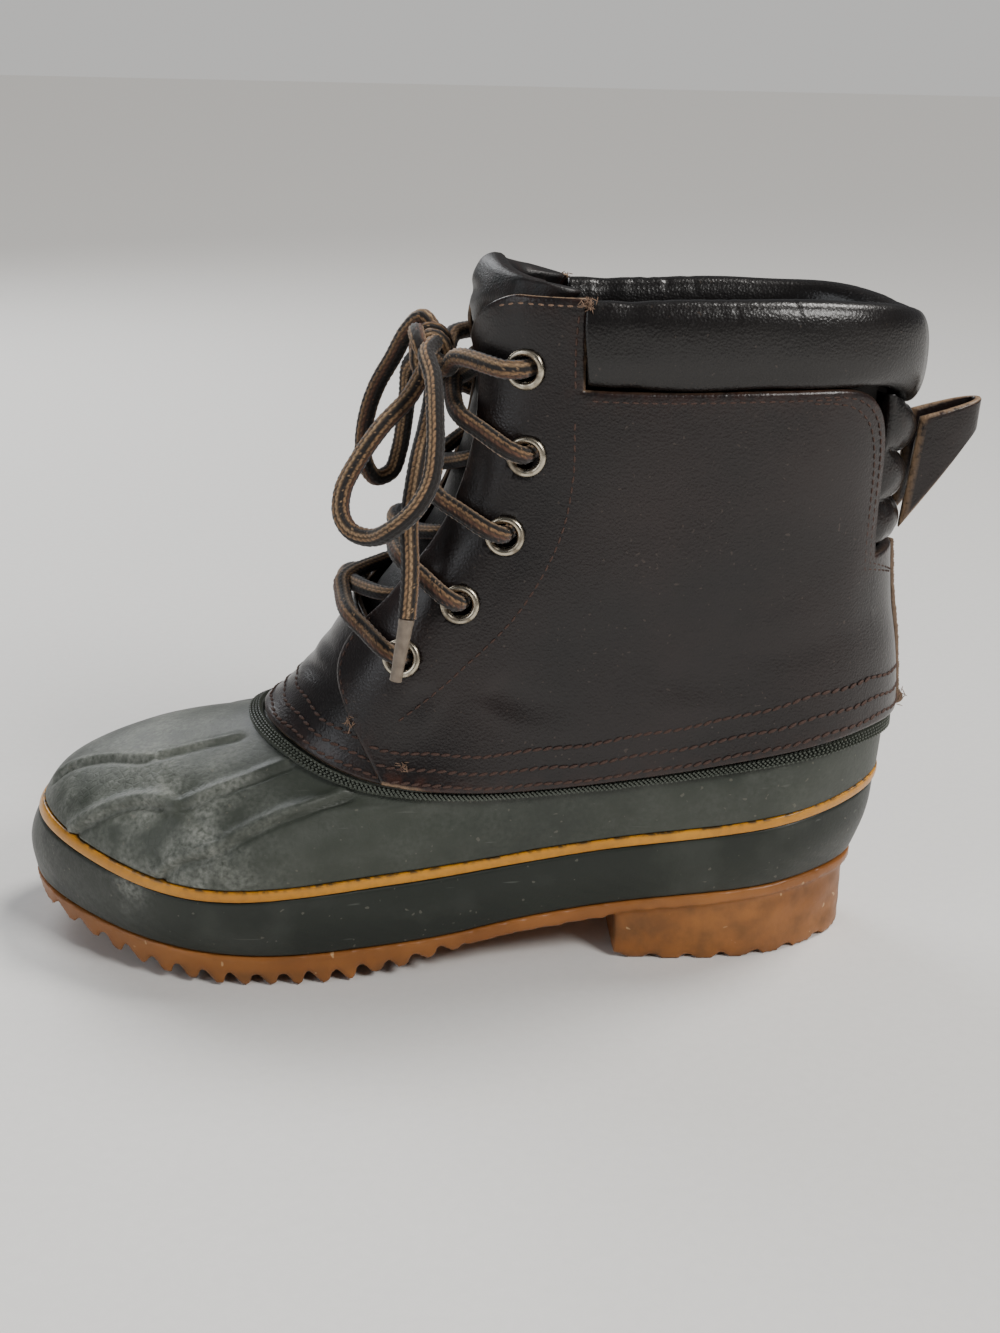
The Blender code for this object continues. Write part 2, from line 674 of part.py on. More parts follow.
def make_upper(parts):
    """Vamp and quarters in one hollow solid; the quarters are a second ply."""
    rows = 10
    front_columns = 3
    vamp_rows = 4
    back_turns = (0.74, 0.78, 0.805, 0.82, 0.83, 0.84, 0.89, 0.945, 1.0)
    pattern = Pattern()
    edges = {}
    for side in (1, -1):
        collar_turn = float(turn_at_x(COLLAR_FRONT_X, COLLAR_SEAM, side)[0])
        edge_turn = float(eyestay_turn(COLLAR_SEAM, side)[0])
        split = (collar_turn - edge_turn) / (side - edge_turn)
        back = (side * np.array(back_turns) - edge_turn) / (side - edge_turn)
        share = np.concatenate([np.linspace(0, split, front_columns + 1),
                                np.linspace(split, back[0], 9)[1:], back[1:]])
        climb = np.repeat(np.arange(rows + 1) / rows, len(share))
        across = np.tile(share, rows + 1)
        level = RIM + (COLLAR_SEAM - RIM) * climb
        for _ in range(8):
            turn = eyestay_turn(level, side)
            turn = turn + (side - turn) * across
            level = RIM + (quarter_top(turn) - RIM) * climb
        places = list(zip(turn, level))
        grid = [places[k:k + len(share)] for k in range(0, len(places), len(share))]
        edges[side] = [row[0] for row in grid]
        block = [grid[-1][:front_columns + 1]]
        for j in (1, 2, 3):
            level = np.full(front_columns + 1, COLLAR_SEAM + (COLLAR_TOP - COLLAR_SEAM) * j / 3)
            first = eyestay_turn(level, side)
            last = turn_at_x(COLLAR_FRONT_X, level, side)
            turn = first + (last - first) * np.linspace(0, 1, front_columns + 1)
            block.append(list(zip(turn, level)))
        for patch in (grid, block):
            ordered = patch if side == 1 else [list(reversed(row)) for row in patch]
            pattern.add_grid(ordered, plies=2)
    vamp = []
    for j in range(vamp_rows + 1):
        (turn_a, level), (turn_b, _) = edges[-1][j], edges[1][j]
        across = np.linspace(0, 1, 9)
        rise = VAMP_TOP_RISE * (j / vamp_rows) ** 3 * np.sin(math.pi * across)
        turn = turn_a + (turn_b - turn_a) * across
        vamp.append(list(zip(turn, level + rise)))
    pattern.add_grid(vamp, plies=1)
    mid = CLEAR + LEATHER_WALL
    shell = pattern.solid((CLEAR, mid, mid + QUARTER_STEP))
    return new_object("upper", shell, "brown leather", parts)


def make_tongue(parts):
    """Padded tongue under the eyestays, from the vamp to above the collar."""
    pattern = Pattern()
    rows = []
    base = 5.9
    count = 12
    for j in range(count):
        s = j / (count - 1)
        level = base + (10.62 - base) * s
        half = 0.20 + 0.13 * s ** 1.5
        drop = 0.30 * s ** 6
        across = np.linspace(-1, 1, 9)
        rows.append([(half * c, level - drop * abs(c) ** 1.5) for c in across])
    pattern.add_grid(rows)

    def outer(turn, level):
        rise = np.clip((level - base) / 0.8, 0, 1)
        return -TONGUE_BASE_DEPTH - (TONGUE_DEPTH - TONGUE_BASE_DEPTH) * rise

    def inner(turn, level):
        return outer(turn, level) - TONGUE_WALL
    new_object("tongue", pattern.solid((inner, outer)), "brown leather", parts)


def make_collar(parts):
    """Padded roll round the top line, from one eyestay round the back to the other."""
    first = float(turn_at_x(COLLAR_FRONT_X - 2 * CLEAR, COLLAR_SEAM + 0.5, 1)[0])
    last = float(turn_at_x(COLLAR_FRONT_X - 2 * CLEAR, COLLAR_SEAM + 0.5, -1)[0]) + 2
    sides = 10
    stations = 26
    share = np.repeat(np.arange(stations + 1), sides) / stations
    angle = np.tile(np.arange(sides), stations + 1) * 2 * math.pi / sides
    swell = np.interp(np.minimum(share, 1 - share) * stations, (0, 1, 2), (0.82, 0.96, 1.0))
    up = np.sign(np.sin(angle)) * np.abs(np.sin(angle)) ** 0.75
    out = np.sign(np.cos(angle)) * np.abs(np.cos(angle)) ** 0.75
    level = COLLAR_SEAM + 0.52 + 0.475 * up * swell
    distance = COLLAR_CENTRE + COLLAR_PAD / 2 * out * swell
    points = offset_point(first + (last - first) * share, level, distance).tolist()
    faces = []
    for i in range(stations):
        for k in range(sides):
            a, b = i * sides + k, i * sides + (k + 1) % sides
            faces.append([a, a + sides, b + sides, b])
    faces.append(list(range(sides)))
    faces.append([stations * sides + k for k in reversed(range(sides))])
    mesh = bpy.data.meshes.new("collar")
    mesh.from_pydata(points, [], faces)
    new_object("collar", mesh, "collar leather", parts)


def make_back(parts):
    """Three padded rolls in the notch of the quarters, and the rolled seam below them."""
    rolls = 3
    steps = 4
    low, high = BACK_NOTCH_LEVEL + 0.06, COLLAR_SEAM - 0.03
    half = 1 - BACK_NOTCH_TO - 0.007
    rows = []
    for j in range(rolls * steps + 1):
        level = low + (high - low) * j / (rolls * steps)
        rows.append([(1 + half * c, level) for c in np.linspace(-1, 1, 7)])
    pattern = Pattern()
    pattern.add_grid(rows)

    def outer(turn, level):
        wave = np.abs(np.sin(math.pi * rolls * (level - low) / (high - low)))
        side = (np.abs(turn) % 2 - 1) / half
        return ROLL_REST + ROLL_DEPTH * wave ** 0.7 * (1 - side ** 4)
    new_object("back_panel", pattern.solid((-ROLL_BACK, outer)), "collar leather", parts)

    seam = Pattern()
    half = 0.022
    rows = []
    for level in np.linspace(RIM - 0.05, BACK_NOTCH_LEVEL - 0.05, 8):
        rows.append([(1 + half * c, level) for c in (-1, 0, 1)])
    seam.add_grid(rows)
    rest = CLEAR + LEATHER_WALL + QUARTER_STEP + CLEAR

    def crown(turn, level):
        return rest + SEAM_DEPTH * (1 - 0.5 * np.abs(np.abs(turn) % 2 - 1) / half)
    new_object("backstay", seam.solid((rest, crown)), "raw leather", parts)


def make_pull_loop(parts):
    """Strap folded to a loop: both ends at the back, one above the rolls, one below."""
    count = 15
    rows = []
    for i in range(count):
        share = i / (count - 1)
        swing = math.sin(math.pi * share)
        side = math.cos(math.pi * share)
        out = swing ** 0.55
        top = LOOP_ROOT_TOP + (LOOP_TIP_TOP - LOOP_ROOT_TOP) * out
        low = LOOP_ROOT_LOW + (LOOP_TIP_LOW - LOOP_ROOT_LOW) * out
        row = []
        for c in (0.0, 0.35, 0.7, 1.0):
            place = low + (top - low) * c
            row.append((place.x, LOOP_HALF_WIDTH * side, place.y))
        rows.append(row)
    points = [point for row in rows for point in row]
    faces = []
    for i in range(count - 1):
        for k in range(3):
            a = i * 4 + k
            faces.append([a, a + 1, a + 5, a + 4])
    mesh = bpy.data.meshes.new("pull_loop")
    mesh.from_pydata(points, [], faces)
    strap = new_object("pull_loop", mesh, "raw leather", parts)
    shell = strap.modifiers.new("Solidify", "SOLIDIFY")
    shell.thickness = STRAP_WALL
    shell.offset = 0


def make_insole(parts):
    """Insole on the sole, inside the rubber shell."""
    inset = FOXING_WALL + RUBBER_WALL + 3 * CLEAR
    turns = np.linspace(0, 1, 17)
    rows = []
    for turn in turns:
        ends = []
        for side in (1, -1):
            point = loop_points(0, np.array([side * turn]))[0]
            normal = surface_normal(side * turn, 0.02)[0]
            normal[2] = 0
            ends.append(point - normal / np.linalg.norm(normal) * inset)
        rows.append([ends[0] + (ends[1] - ends[0]) * c for c in np.linspace(0, 1, 5)])
    points, faces = [], []
    for lift in (CLEAR, CLEAR + INSOLE_THICKNESS):
        for row in rows:
            for point in row:
                points.append((point[0], point[1], float(sole_top(point[0])) + lift))
    layer = len(rows) * 5
    for i in range(len(rows) - 1):
        for k in range(4):
            a = i * 5 + k
            faces.append([a, a + 1, a + 6, a + 5])
            faces.append([layer + a, layer + a + 5, layer + a + 6, layer + a + 1])
    rim = [i * 5 for i in range(len(rows))]
    far = [i * 5 + 4 for i in range(len(rows))]
    for line, flip in ((rim, False), (far, True)):
        for a, b in zip(line, line[1:]):
            quad = [a, b, b + layer, a + layer]
            faces.append(quad[::-1] if flip else quad)
    mesh = bpy.data.meshes.new("insole")
    mesh.from_pydata(points, [], faces)
    shape = bmesh.new()
    shape.from_mesh(mesh)
    bmesh.ops.remove_doubles(shape, verts=shape.verts, dist=0.05 * MM)
    bmesh.ops.recalc_face_normals(shape, faces=shape.faces)
    shape.to_mesh(mesh)
    shape.free()
    new_object("insole", mesh, "felt", parts)


def eyelet_places():
    """Turn, level, side and name of every eyelet, lateral side first, each from the top."""
    x, z = np.array(EYELETS * 2).T
    side = np.repeat([1, -1], len(EYELETS))
    turn, level = surface_places(x * OUTSOLE_LENGTH, z * BOOT_HEIGHT, side)
    names = [f"eyelet_{label}_{row + 1}" for label in ("lateral", "medial")
             for row in range(len(EYELETS))]
    return list(zip(turn, level, side, names))


def make_eyelets(upper, parts, tools):
    """Turned metal eyelets, and the holes that they sit in."""
    barrel = EYELET_BORE + EYELET_WALL
    seat = CLEAR + LEATHER_WALL + QUARTER_STEP
    foot = CLEAR - seat
    profile = (
        (EYELET_BORE, foot), (EYELET_BORE, EYELET_FLANGE),
        (EYELET_OUTER - EYELET_LIP, EYELET_FLANGE + CLEAR),
        (EYELET_OUTER, CLEAR), (barrel, CLEAR), (barrel, foot),
    )
    for turn, level, side, name in eyelet_places():
        centre = Vector(offset_point(turn, level, seat)[0])
        normal = Vector(surface_normal(turn, level)[0])
        turned = normal.to_track_quat("Z", "X")
        points, faces = [], []
        for k in range(EYELET_SIDES):
            angle = 2 * math.pi * k / EYELET_SIDES
            for radius, height in profile:
                points.append((radius * math.cos(angle), radius * math.sin(angle), height))
        size = len(profile)
        for k in range(EYELET_SIDES):
            for j in range(size):
                a, b = k * size + j, k * size + (j + 1) % size
                after = (k + 1) % EYELET_SIDES * size
                c, d = after + (j + 1) % size, after + j
                faces.append([a, b, c, d])
        mesh = bpy.data.meshes.new(name)
        mesh.from_pydata(points, [], faces)
        mesh.transform(turned.to_matrix().to_4x4())
        eyelet = new_object(name, mesh, "old nickel", parts)
        eyelet.location = centre
        bpy.ops.mesh.primitive_cylinder_add(
            vertices=EYELET_SIDES, radius=barrel + 2 * CLEAR, depth=EYELET_DRILL,
            location=centre, rotation=turned.to_euler())
        drill = bpy.context.active_object
        drill.name = name + "_hole"
        for collection in drill.users_collection:
            collection.objects.unlink(drill)
        tools.objects.link(drill)
        combine(upper, drill, "DIFFERENCE")


def surface_route(route):
    """Points of a cord laid on the boot; the route's rows are turn, level and offset."""
    turn, level, offset = np.array(route).T
    return offset_point(turn, level, offset)


def make_crossings(parts, tools):
    """Where the lace crosses the tongue: each strand runs over one flap and under the other."""
    places = [(float(turn), float(level)) for turn, level, _, _ in eyelet_places()]
    rows = len(EYELETS)
    eyelets = {1: places[:rows], -1: places[rows:]}
    for row in range(rows - 1):
        strands = []
        for side in (1, -1):
            start_turn, start_level = eyelets[side][row + 1]
            climb = eyelets[side][row][1] - start_level
            middle = LACE_OVER_VAMP if row == rows - 2 else LACE_OVER_TONGUE
            over = start_level + 0.25 * climb
            under = start_level + 0.75 * climb
            route = (
                (start_turn, start_level, LACE_OVER_FLAP),
                (float(eyestay_turn(over, side)[0]), over, LACE_OVER_EDGE),
                (0.0, start_level + 0.5 * climb, middle),
                (0.8 * float(eyestay_turn(under, -side)[0]), under, 0.0),
            )
            points = smooth_path(surface_route(route), 7)
            name = f"lace_cross_{row + 1}" if side == 1 else f"lace_under_{row + 1}"
            collection = parts if side == 1 else tools
            strands.append(tube(name, points, LACE_RADIUS, collection, "lace cord"))
        combine(strands[0], strands[1], "UNION")
    route = []
    for side in (1, -1):
        turn, level = eyelets[side][0]
        half = [(turn, level, LACE_OVER_FLAP),
                (float(eyestay_turn(level, side)[0]), level, LACE_OVER_EDGE)]
        route.extend(half if side == 1 else [(0.0, level, LACE_OVER_TONGUE)] + half[::-1])
    tube("lace_bar", smooth_path(surface_route(route), 11), LACE_RADIUS, parts, "lace cord")


def make_bow(parts, tools):
    """Knot, loops and ends of the bow, which lie in front of the boot."""
    centre = Vector(KNOT_CENTRE) * MM
    for name, clearance, collection in (("lace_knot", 0.0, parts), ("knot_room", CLEAR, tools)):
        bpy.ops.mesh.primitive_uv_sphere_add(segments=10, ring_count=6, radius=1)
        knot = bpy.context.active_object
        knot.name = name
        radii = Vector(KNOT_RADII) * MM + Vector((clearance, clearance, clearance))
        knot.data.transform(Matrix.Diagonal(radii.to_4d()))
        knot.location = centre
        knot.data.materials.append(finish("lace cord"))
        for other in knot.users_collection:
            other.objects.unlink(knot)
        collection.objects.link(knot)
    for name, route in BOW.items():
        points = np.array(route) * MM
        run = float(np.linalg.norm(np.diff(points, axis=0), axis=1).sum())
        count = round(run / (3.2 * LACE_RADIUS)) + 1
        cord = tube(name, smooth_path(points, count), LACE_RADIUS, parts, "lace cord")
        combine(cord, knot, "DIFFERENCE")
    for name, ends in AGLETS.items():
        points = np.array(ends) * MM
        tube(name, points, AGLET_RADIUS, parts, "lace tip")


def main():
    for obj in list(bpy.data.objects):
        bpy.data.objects.remove(obj, do_unlink=True)
    parts = bpy.data.collections.new("duck_boot")
    tools = bpy.data.collections.new("cutters")
    for collection in (parts, tools):
        bpy.context.scene.collection.children.link(collection)
    make_outsole(parts, tools)
    make_rubber(parts)
    upper = make_upper(parts)
    make_tongue(parts)
    make_collar(parts)
    make_back(parts)
    make_pull_loop(parts)
    make_insole(parts)
    make_eyelets(upper, parts, tools)
    make_crossings(parts, tools)
    make_bow(parts, tools)


main()
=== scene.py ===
import math
import bmesh
import bpy
import numpy as np
from mathutils import Matrix, Vector, kdtree


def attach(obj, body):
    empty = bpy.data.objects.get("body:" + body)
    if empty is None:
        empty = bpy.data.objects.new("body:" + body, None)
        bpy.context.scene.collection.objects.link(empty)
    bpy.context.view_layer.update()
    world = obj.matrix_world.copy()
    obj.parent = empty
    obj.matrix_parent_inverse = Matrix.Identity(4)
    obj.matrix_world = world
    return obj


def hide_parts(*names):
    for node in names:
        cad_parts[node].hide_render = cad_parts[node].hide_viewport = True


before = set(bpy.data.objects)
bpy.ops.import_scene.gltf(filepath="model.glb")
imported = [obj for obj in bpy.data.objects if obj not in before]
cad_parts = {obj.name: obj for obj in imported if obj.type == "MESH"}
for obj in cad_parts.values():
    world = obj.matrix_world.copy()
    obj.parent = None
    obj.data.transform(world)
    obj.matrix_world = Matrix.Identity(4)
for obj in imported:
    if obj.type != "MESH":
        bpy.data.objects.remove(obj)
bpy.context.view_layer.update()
mm = 0.001

print("camera")
# the photo's own view, fitted to the boot's outline
view = dict(centre=(0.106, 0.519, 0.275), yaw=3.3, down=19.9, roll=1.35, lens=47.56)


def makeCamera():
    yaw, down, roll = (math.radians(view[k]) for k in ("yaw", "down", "roll"))
    ahead = Vector((-math.sin(yaw) * math.cos(down), -math.cos(yaw) * math.cos(down), -math.sin(down)))
    right = ahead.cross(Vector((0, 0, 1))).normalized()
    up = right.cross(ahead)
    turnedRight = right * math.cos(roll) + up * math.sin(roll)
    turnedUp = up * math.cos(roll) - right * math.sin(roll)
    cam = bpy.data.objects.new("photoCamera", bpy.data.cameras.new("photoCamera"))
    bpy.context.scene.collection.objects.link(cam)
    cam.data.lens = view["lens"]
    axes = Matrix((turnedRight, turnedUp, -ahead)).transposed().to_4x4()
    cam.matrix_world = Matrix.Translation(view["centre"]) @ axes
    bpy.context.scene.camera = cam


makeCamera()

# the boot's own form: shares of these three sizes, a row for each level of the upper
form = dict(
    length=265 * mm, half=48 * mm, height=206 * mm, heel=24.5 * mm,
    soleTop=((-0.17, 1.14), (-0.06, 1.06), (0.06, 0.95), (0.19, 0.78), (0.27, 0.67), (0.35, 0.53),
             (0.43, 0.45), (0.54, 0.39), (0.64, 0.44), (0.70, 0.50), (0.79, 0.625), (0.87, 0.73)),
    ground=((0.30, 0.40), (0.36, 0.25), (0.42, 0.10), (0.48, 0.0), (0.59, 0.0), (0.64, 0.04),
            (0.70, 0.14), (0.755, 0.27), (0.80, 0.38), (0.87, 0.52)),
    # front x, back x, sideways place of the front, drop on the inner side
    ends=((0.850, -0.151, -0.17, 0.0), (0.853, -0.166, -0.17, 0.0), (0.838, -0.172, -0.17, 0.0),
          (0.809, -0.174, -0.16, 0.0), (0.725, -0.175, -0.13, 0.0), (0.563, -0.174, -0.06, 0.0),
          (0.478, -0.166, 0.0, 0.0), (0.445, -0.155, 0.0, 0.0), (0.372, -0.147, 0.0, 0.0),
          (0.330, -0.158, 0.0, 0.006), (0.332, -0.155, 0.0, 0.014), (0.298, -0.143, 0.0, 0.014)),
    heightTurns=(0.0, 0.15, 0.30, 0.45, 0.60, 0.80, 1.0),
    heights=((0.194, 0.184, 0.155, 0.164, 0.200, 0.245, 0.268),
             (0.248, 0.235, 0.209, 0.211, 0.235, 0.284, 0.308),
             (0.303, 0.294, 0.269, 0.262, 0.279, 0.325, 0.342),
             (0.353, 0.339, 0.300, 0.300, 0.328, 0.371, 0.371),
             (0.476, 0.466, 0.417, 0.403, 0.427, 0.471, 0.471),
             (0.553, 0.544, 0.519, 0.510, 0.519, 0.549, 0.553),
             (0.689, 0.684, 0.675, 0.670, 0.675, 0.689, 0.689),
             (0.893, 0.888, 0.881, 0.879, 0.883, 0.879, 0.835),
             (1.002, 1.002, 1.002, 1.002, 1.005, 0.995, 0.971),
             (1.083, 1.074, 1.060, 1.050, 1.050, 1.040, 1.020)),
    fullTurns=(0.15, 0.30, 0.45, 0.60, 0.80),
    outerSide=((1.21, 1.19, 0.90, 0.72, 0.97), (1.27, 1.26, 0.92, 0.75, 1.03),
               (1.37, 1.30, 0.89, 0.75, 1.04), (1.37, 1.30, 0.89, 0.77, 1.08),
               (1.24, 1.11, 0.81, 0.79, 1.07), (1.15, 0.97, 0.77, 0.78, 0.99),
               (1.17, 0.87, 0.75, 0.75, 0.92), (1.10, 0.85, 0.73, 0.74, 0.88),
               (1.02, 0.83, 0.73, 0.75, 0.83), (1.00, 0.84, 0.73, 0.75, 0.85),
               (1.00, 0.84, 0.74, 0.76, 0.86), (1.00, 0.84, 0.74, 0.76, 0.86)),
    innerSide=((1.26, 1.13, 0.74, 0.61, 0.94), (1.30, 1.19, 0.77, 0.65, 1.00),
               (1.29, 1.17, 0.78, 0.68, 1.02), (1.28, 1.15, 0.78, 0.70, 1.04),
               (1.10, 0.99, 0.76, 0.73, 1.06), (1.15, 0.92, 0.74, 0.75, 0.99),
               (1.17, 0.85, 0.73, 0.73, 0.92), (1.10, 0.85, 0.72, 0.73, 0.88),
               (1.02, 0.83, 0.73, 0.75, 0.83), (0.98, 0.81, 0.70, 0.72, 0.84),
               (0.96, 0.80, 0.70, 0.72, 0.85), (0.96, 0.80, 0.70, 0.72, 0.85)),
    # front edge of the quarters: height, x
    edge=((0.28, 0.415), (0.34, 0.438), (0.40, 0.458), (0.45, 0.467), (0.50, 0.450),
          (0.57, 0.405), (0.66, 0.355), (0.78, 0.320), (0.88, 0.312), (0.96, 0.316), (1.00, 0.300)),
    collarFront=0.211, notchFrom=0.68, notchTo=0.84, notchLevel=7.6,
)
walls = dict(clear=0.3 * mm, rubber=2.4 * mm, foxing=2.0 * mm, stripeHeight=3.4 * mm, stripeProud=0.7 * mm,
             bandHeight=5.0 * mm, bandWall=1.3 * mm, bandGap=1.0 * mm, underLeather=10 * mm, tuck=1.2 * mm,
             leather=1.9 * mm, quarter=1.5 * mm)


def curveThrough(knots, values, at, ends=0.0):
    knots = np.asarray(knots, float)
    values = np.asarray(values, float)
    at = np.clip(np.asarray(at, float), knots[0], knots[-1])
    slopes = np.gradient(values, knots)
    slopes[0] *= ends
    slopes[-1] *= ends
    cell = np.clip(np.searchsorted(knots, at, side="right") - 1, 0, len(knots) - 2)
    width = knots[cell + 1] - knots[cell]
    s = (at - knots[cell]) / width
    return (values[cell] * (1 + 2 * s) * (1 - s) ** 2 + values[cell + 1] * s * s * (3 - 2 * s)
            + width * (slopes[cell] * s * (1 - s) ** 2 - slopes[cell + 1] * s * s * (1 - s)))


def soleTop(x):
    table = np.array(form["soleTop"])
    return form["heel"] * curveThrough(table[:, 0], table[:, 1], np.asarray(x) / form["length"], 1.0)


def groundLine(x):
    table = np.array(form["ground"])
    rise = curveThrough(table[:, 0], table[:, 1], np.asarray(x) / form["length"], 1.0)
    return form["heel"] * np.maximum(rise, 0.0)


def loopPoints(level, turn):
    away = np.abs(turn)
    front, back, shift, drop = form["ends"][level]
    x = form["length"] * (back + (front - back) * (1 + np.cos(math.pi * away)) / 2)
    outer = curveThrough(form["fullTurns"], form["outerSide"][level], away)
    inner = curveThrough(form["fullTurns"], form["innerSide"][level], away)
    fade = np.clip(away / 0.45, 0, 1)
    middle = shift * (1 - fade * fade * (3 - 2 * fade))
    y = form["half"] * (middle + np.where(turn >= 0, outer, -inner) * np.sin(math.pi * away))
    if level >= 2:
        z = form["height"] * curveThrough(form["heightTurns"], form["heights"][level - 2], away)
    else:
        z = soleTop(x)
        if level == 1:
            z = (z + form["height"] * curveThrough(form["heightTurns"], form["heights"][0], away)) / 2
    z = z - np.where(turn < 0, form["height"] * drop * np.sin(math.pi * away), 0.0)
    return np.stack([x, y, z], -1)


# every wall follows this surface: turn 0 is the toe, 1 and -1 the back, positive turns the outer side
def bootSurface(turn, level):
    turn = (np.atleast_1d(np.asarray(turn, float)) + 1) % 2 - 1
    level = np.clip(np.broadcast_to(np.asarray(level, float), turn.shape), 0, 10.999)
    loops = np.stack([loopPoints(k, turn) for k in range(12)])
    loops = np.concatenate([[2 * loops[0] - loops[1]], loops, [2 * loops[-1] - loops[-2]]])
    cell = np.floor(level).astype(int)
    pick = np.arange(len(turn))
    p0, p1, p2, p3 = (loops[cell + k, pick] for k in range(4))
    gap = [np.maximum(np.linalg.norm(b - a, axis=1) ** 0.5, 1e-4)[:, None]
           for a, b in ((p0, p1), (p1, p2), (p2, p3))]
    s = (level - cell)[:, None]
    slopeIn = ((p1 - p0) / gap[0] - (p2 - p0) / (gap[0] + gap[1]) + (p2 - p1) / gap[1]) * gap[1]
    slopeOut = ((p2 - p1) / gap[1] - (p3 - p1) / (gap[1] + gap[2]) + (p3 - p2) / gap[2]) * gap[1]
    return (p1 * (1 + 2 * s) * (1 - s) ** 2 + p2 * s * s * (3 - 2 * s)
            + slopeIn * s * (1 - s) ** 2 - slopeOut * s * s * (1 - s))


def surfaceNormal(turn, level):
    turn = np.atleast_1d(np.asarray(turn, float))
    level = np.broadcast_to(np.asarray(level, float), turn.shape)
    low = np.clip(level - 0.02, 0, None)
    roundWay = bootSurface(turn + 0.004, level) - bootSurface(turn - 0.004, level)
    upWay = bootSurface(turn, level + 0.02) - bootSurface(turn, low)
    normal = np.cross(roundWay, upWay)
    return normal / np.linalg.norm(normal, axis=1)[:, None]


def offSurface(turn, level, offset):
    point = bootSurface(turn, level) + surfaceNormal(turn, level) * np.reshape(offset, (-1, 1))
    point[:, 2] = np.maximum(point[:, 2], soleTop(point[:, 0]) + walls["clear"])
    return point


def solve(test, low, high):
    for _ in range(24):
        middle = (low + high) / 2
        above = test(middle) > 0
        high = np.where(above, middle, high)
        low = np.where(above, low, middle)
    return (low + high) / 2


def levelAbove(turn, level, rise):
    turn = np.atleast_1d(np.asarray(turn, float))
    aim = bootSurface(turn, level)[:, 2] + rise
    low = np.full(turn.shape, max(level - 1.5, 0.0))
    return solve(lambda v: bootSurface(turn, v)[:, 2] - aim, low, low * 0 + level + 1.5)


def levelAlong(turn, level, distance):
    turn = np.atleast_1d(np.asarray(turn, float))
    start = bootSurface(turn, level)
    reach = math.copysign(1.4, distance)

    def far(share):
        return np.linalg.norm(bootSurface(turn, level + reach * share) - start, axis=1) - abs(distance)
    low = np.zeros(turn.shape)
    return level + reach * solve(far, low, low + 1.0)


def turnAtX(x, level, side):
    level = np.atleast_1d(np.asarray(level, float))
    x = np.broadcast_to(x, level.shape)
    low = np.zeros(level.shape)
    return side * solve(lambda t: x - bootSurface(side * t, level)[:, 0], low, low + 1.0)


def edgeTurn(level, side):
    table = np.array(form["edge"])
    level = np.atleast_1d(np.asarray(level, float))

    def ahead(t):
        point = bootSurface(side * t, level)
        edge = form["length"] * curveThrough(table[:, 0], table[:, 1], point[:, 2] / form["height"], 1.0)
        return edge - point[:, 0]
    low = np.zeros(level.shape)
    return side * solve(ahead, low, low + 0.6)


edgeLevels = np.linspace(4.5, 10.99, 260)
edgeTables = {side: edgeTurn(edgeLevels, side) for side in (1, -1)}
frontTables = {side: turnAtX(form["collarFront"] * form["length"], edgeLevels, side) for side in (1, -1)}


def edgeAt(level, side):
    return np.interp(level, edgeLevels, edgeTables[side])


def collarFrontAt(level, side):
    return np.interp(level, edgeLevels, frontTables[side])


def placesAt(x, z, side):
    level = np.full(x.shape, 7.0)
    low, high = np.full(x.shape, 2.0), np.full(x.shape, 10.99)
    for _ in range(10):
        turn = turnAtX(x, level, side)
        level = solve(lambda v: bootSurface(turn, v)[:, 2] - z, low, high)
    return turn, level


def ease(x):
    x = np.clip(x, 0, 1)
    return x * x * (3 - 2 * x)


print("finishes")


# what leather, rubber, gum and felt share: fine grain, slow mottling and a few specks of dust
def makeSurfaceLife():
    tree = bpy.data.node_groups.new("surfaceLife", "ShaderNodeTree")
    for name, value in (("Grain scale", 900), ("Mottle scale", 25), ("Speck scale", 700), ("Stretch", 1)):
        tree.interface.new_socket(name, in_out="INPUT", socket_type="NodeSocketFloat").default_value = value
    for name in ("Grain", "Mottle", "Specks", "Cells"):
        tree.interface.new_socket(name, in_out="OUTPUT", socket_type="NodeSocketFloat")
    nodes, links = tree.nodes, tree.links
    given, put = nodes.new("NodeGroupInput"), nodes.new("NodeGroupOutput")
    place = nodes.new("ShaderNodeTexCoord")
    shape = nodes.new("ShaderNodeCombineXYZ")
    shape.inputs["X"].default_value = 1
    shape.inputs["Y"].default_value = 1
    links.new(given.outputs["Stretch"], shape.inputs["Z"])
    spread = nodes.new("ShaderNodeVectorMath")
    spread.operation = "MULTIPLY"
    links.new(place.outputs["Object"], spread.inputs[0])
    links.new(shape.outputs[0], spread.inputs[1])
    found = {}
    for name, kind, detail in (("Grain", "ShaderNodeTexNoise", 4), ("Mottle", "ShaderNodeTexNoise", 5),
                               ("Speck", "ShaderNodeTexNoise", 0), ("Cells", "ShaderNodeTexVoronoi", 0)):
        texture = nodes.new(kind)
        links.new(spread.outputs[0], texture.inputs["Vector"])
        scale = {"Grain": "Grain scale", "Mottle": "Mottle scale", "Speck": "Speck scale",
                 "Cells": "Grain scale"}[name]
        links.new(given.outputs[scale], texture.inputs["Scale"])
        if kind == "ShaderNodeTexNoise":
            texture.inputs["Detail"].default_value = detail
        found[name] = texture
    contrast = nodes.new("ShaderNodeMapRange")
    contrast.inputs["From Min"].default_value = 0.3
    contrast.inputs["From Max"].default_value = 0.7
    links.new(found["Mottle"].outputs[0], contrast.inputs["Value"])
    cut = nodes.new("ShaderNodeMapRange")
    cut.inputs["From Min"].default_value = 0.80
    cut.inputs["From Max"].default_value = 0.84
    links.new(found["Speck"].outputs[0], cut.inputs["Value"])
    links.new(found["Grain"].outputs[0], put.inputs["Grain"])
    links.new(contrast.outputs["Result"], put.inputs["Mottle"])
    links.new(cut.outputs["Result"], put.inputs["Specks"])
    links.new(found["Cells"].outputs["Distance"], put.inputs["Cells"])
    return tree


surfaceLife = makeSurfaceLife()


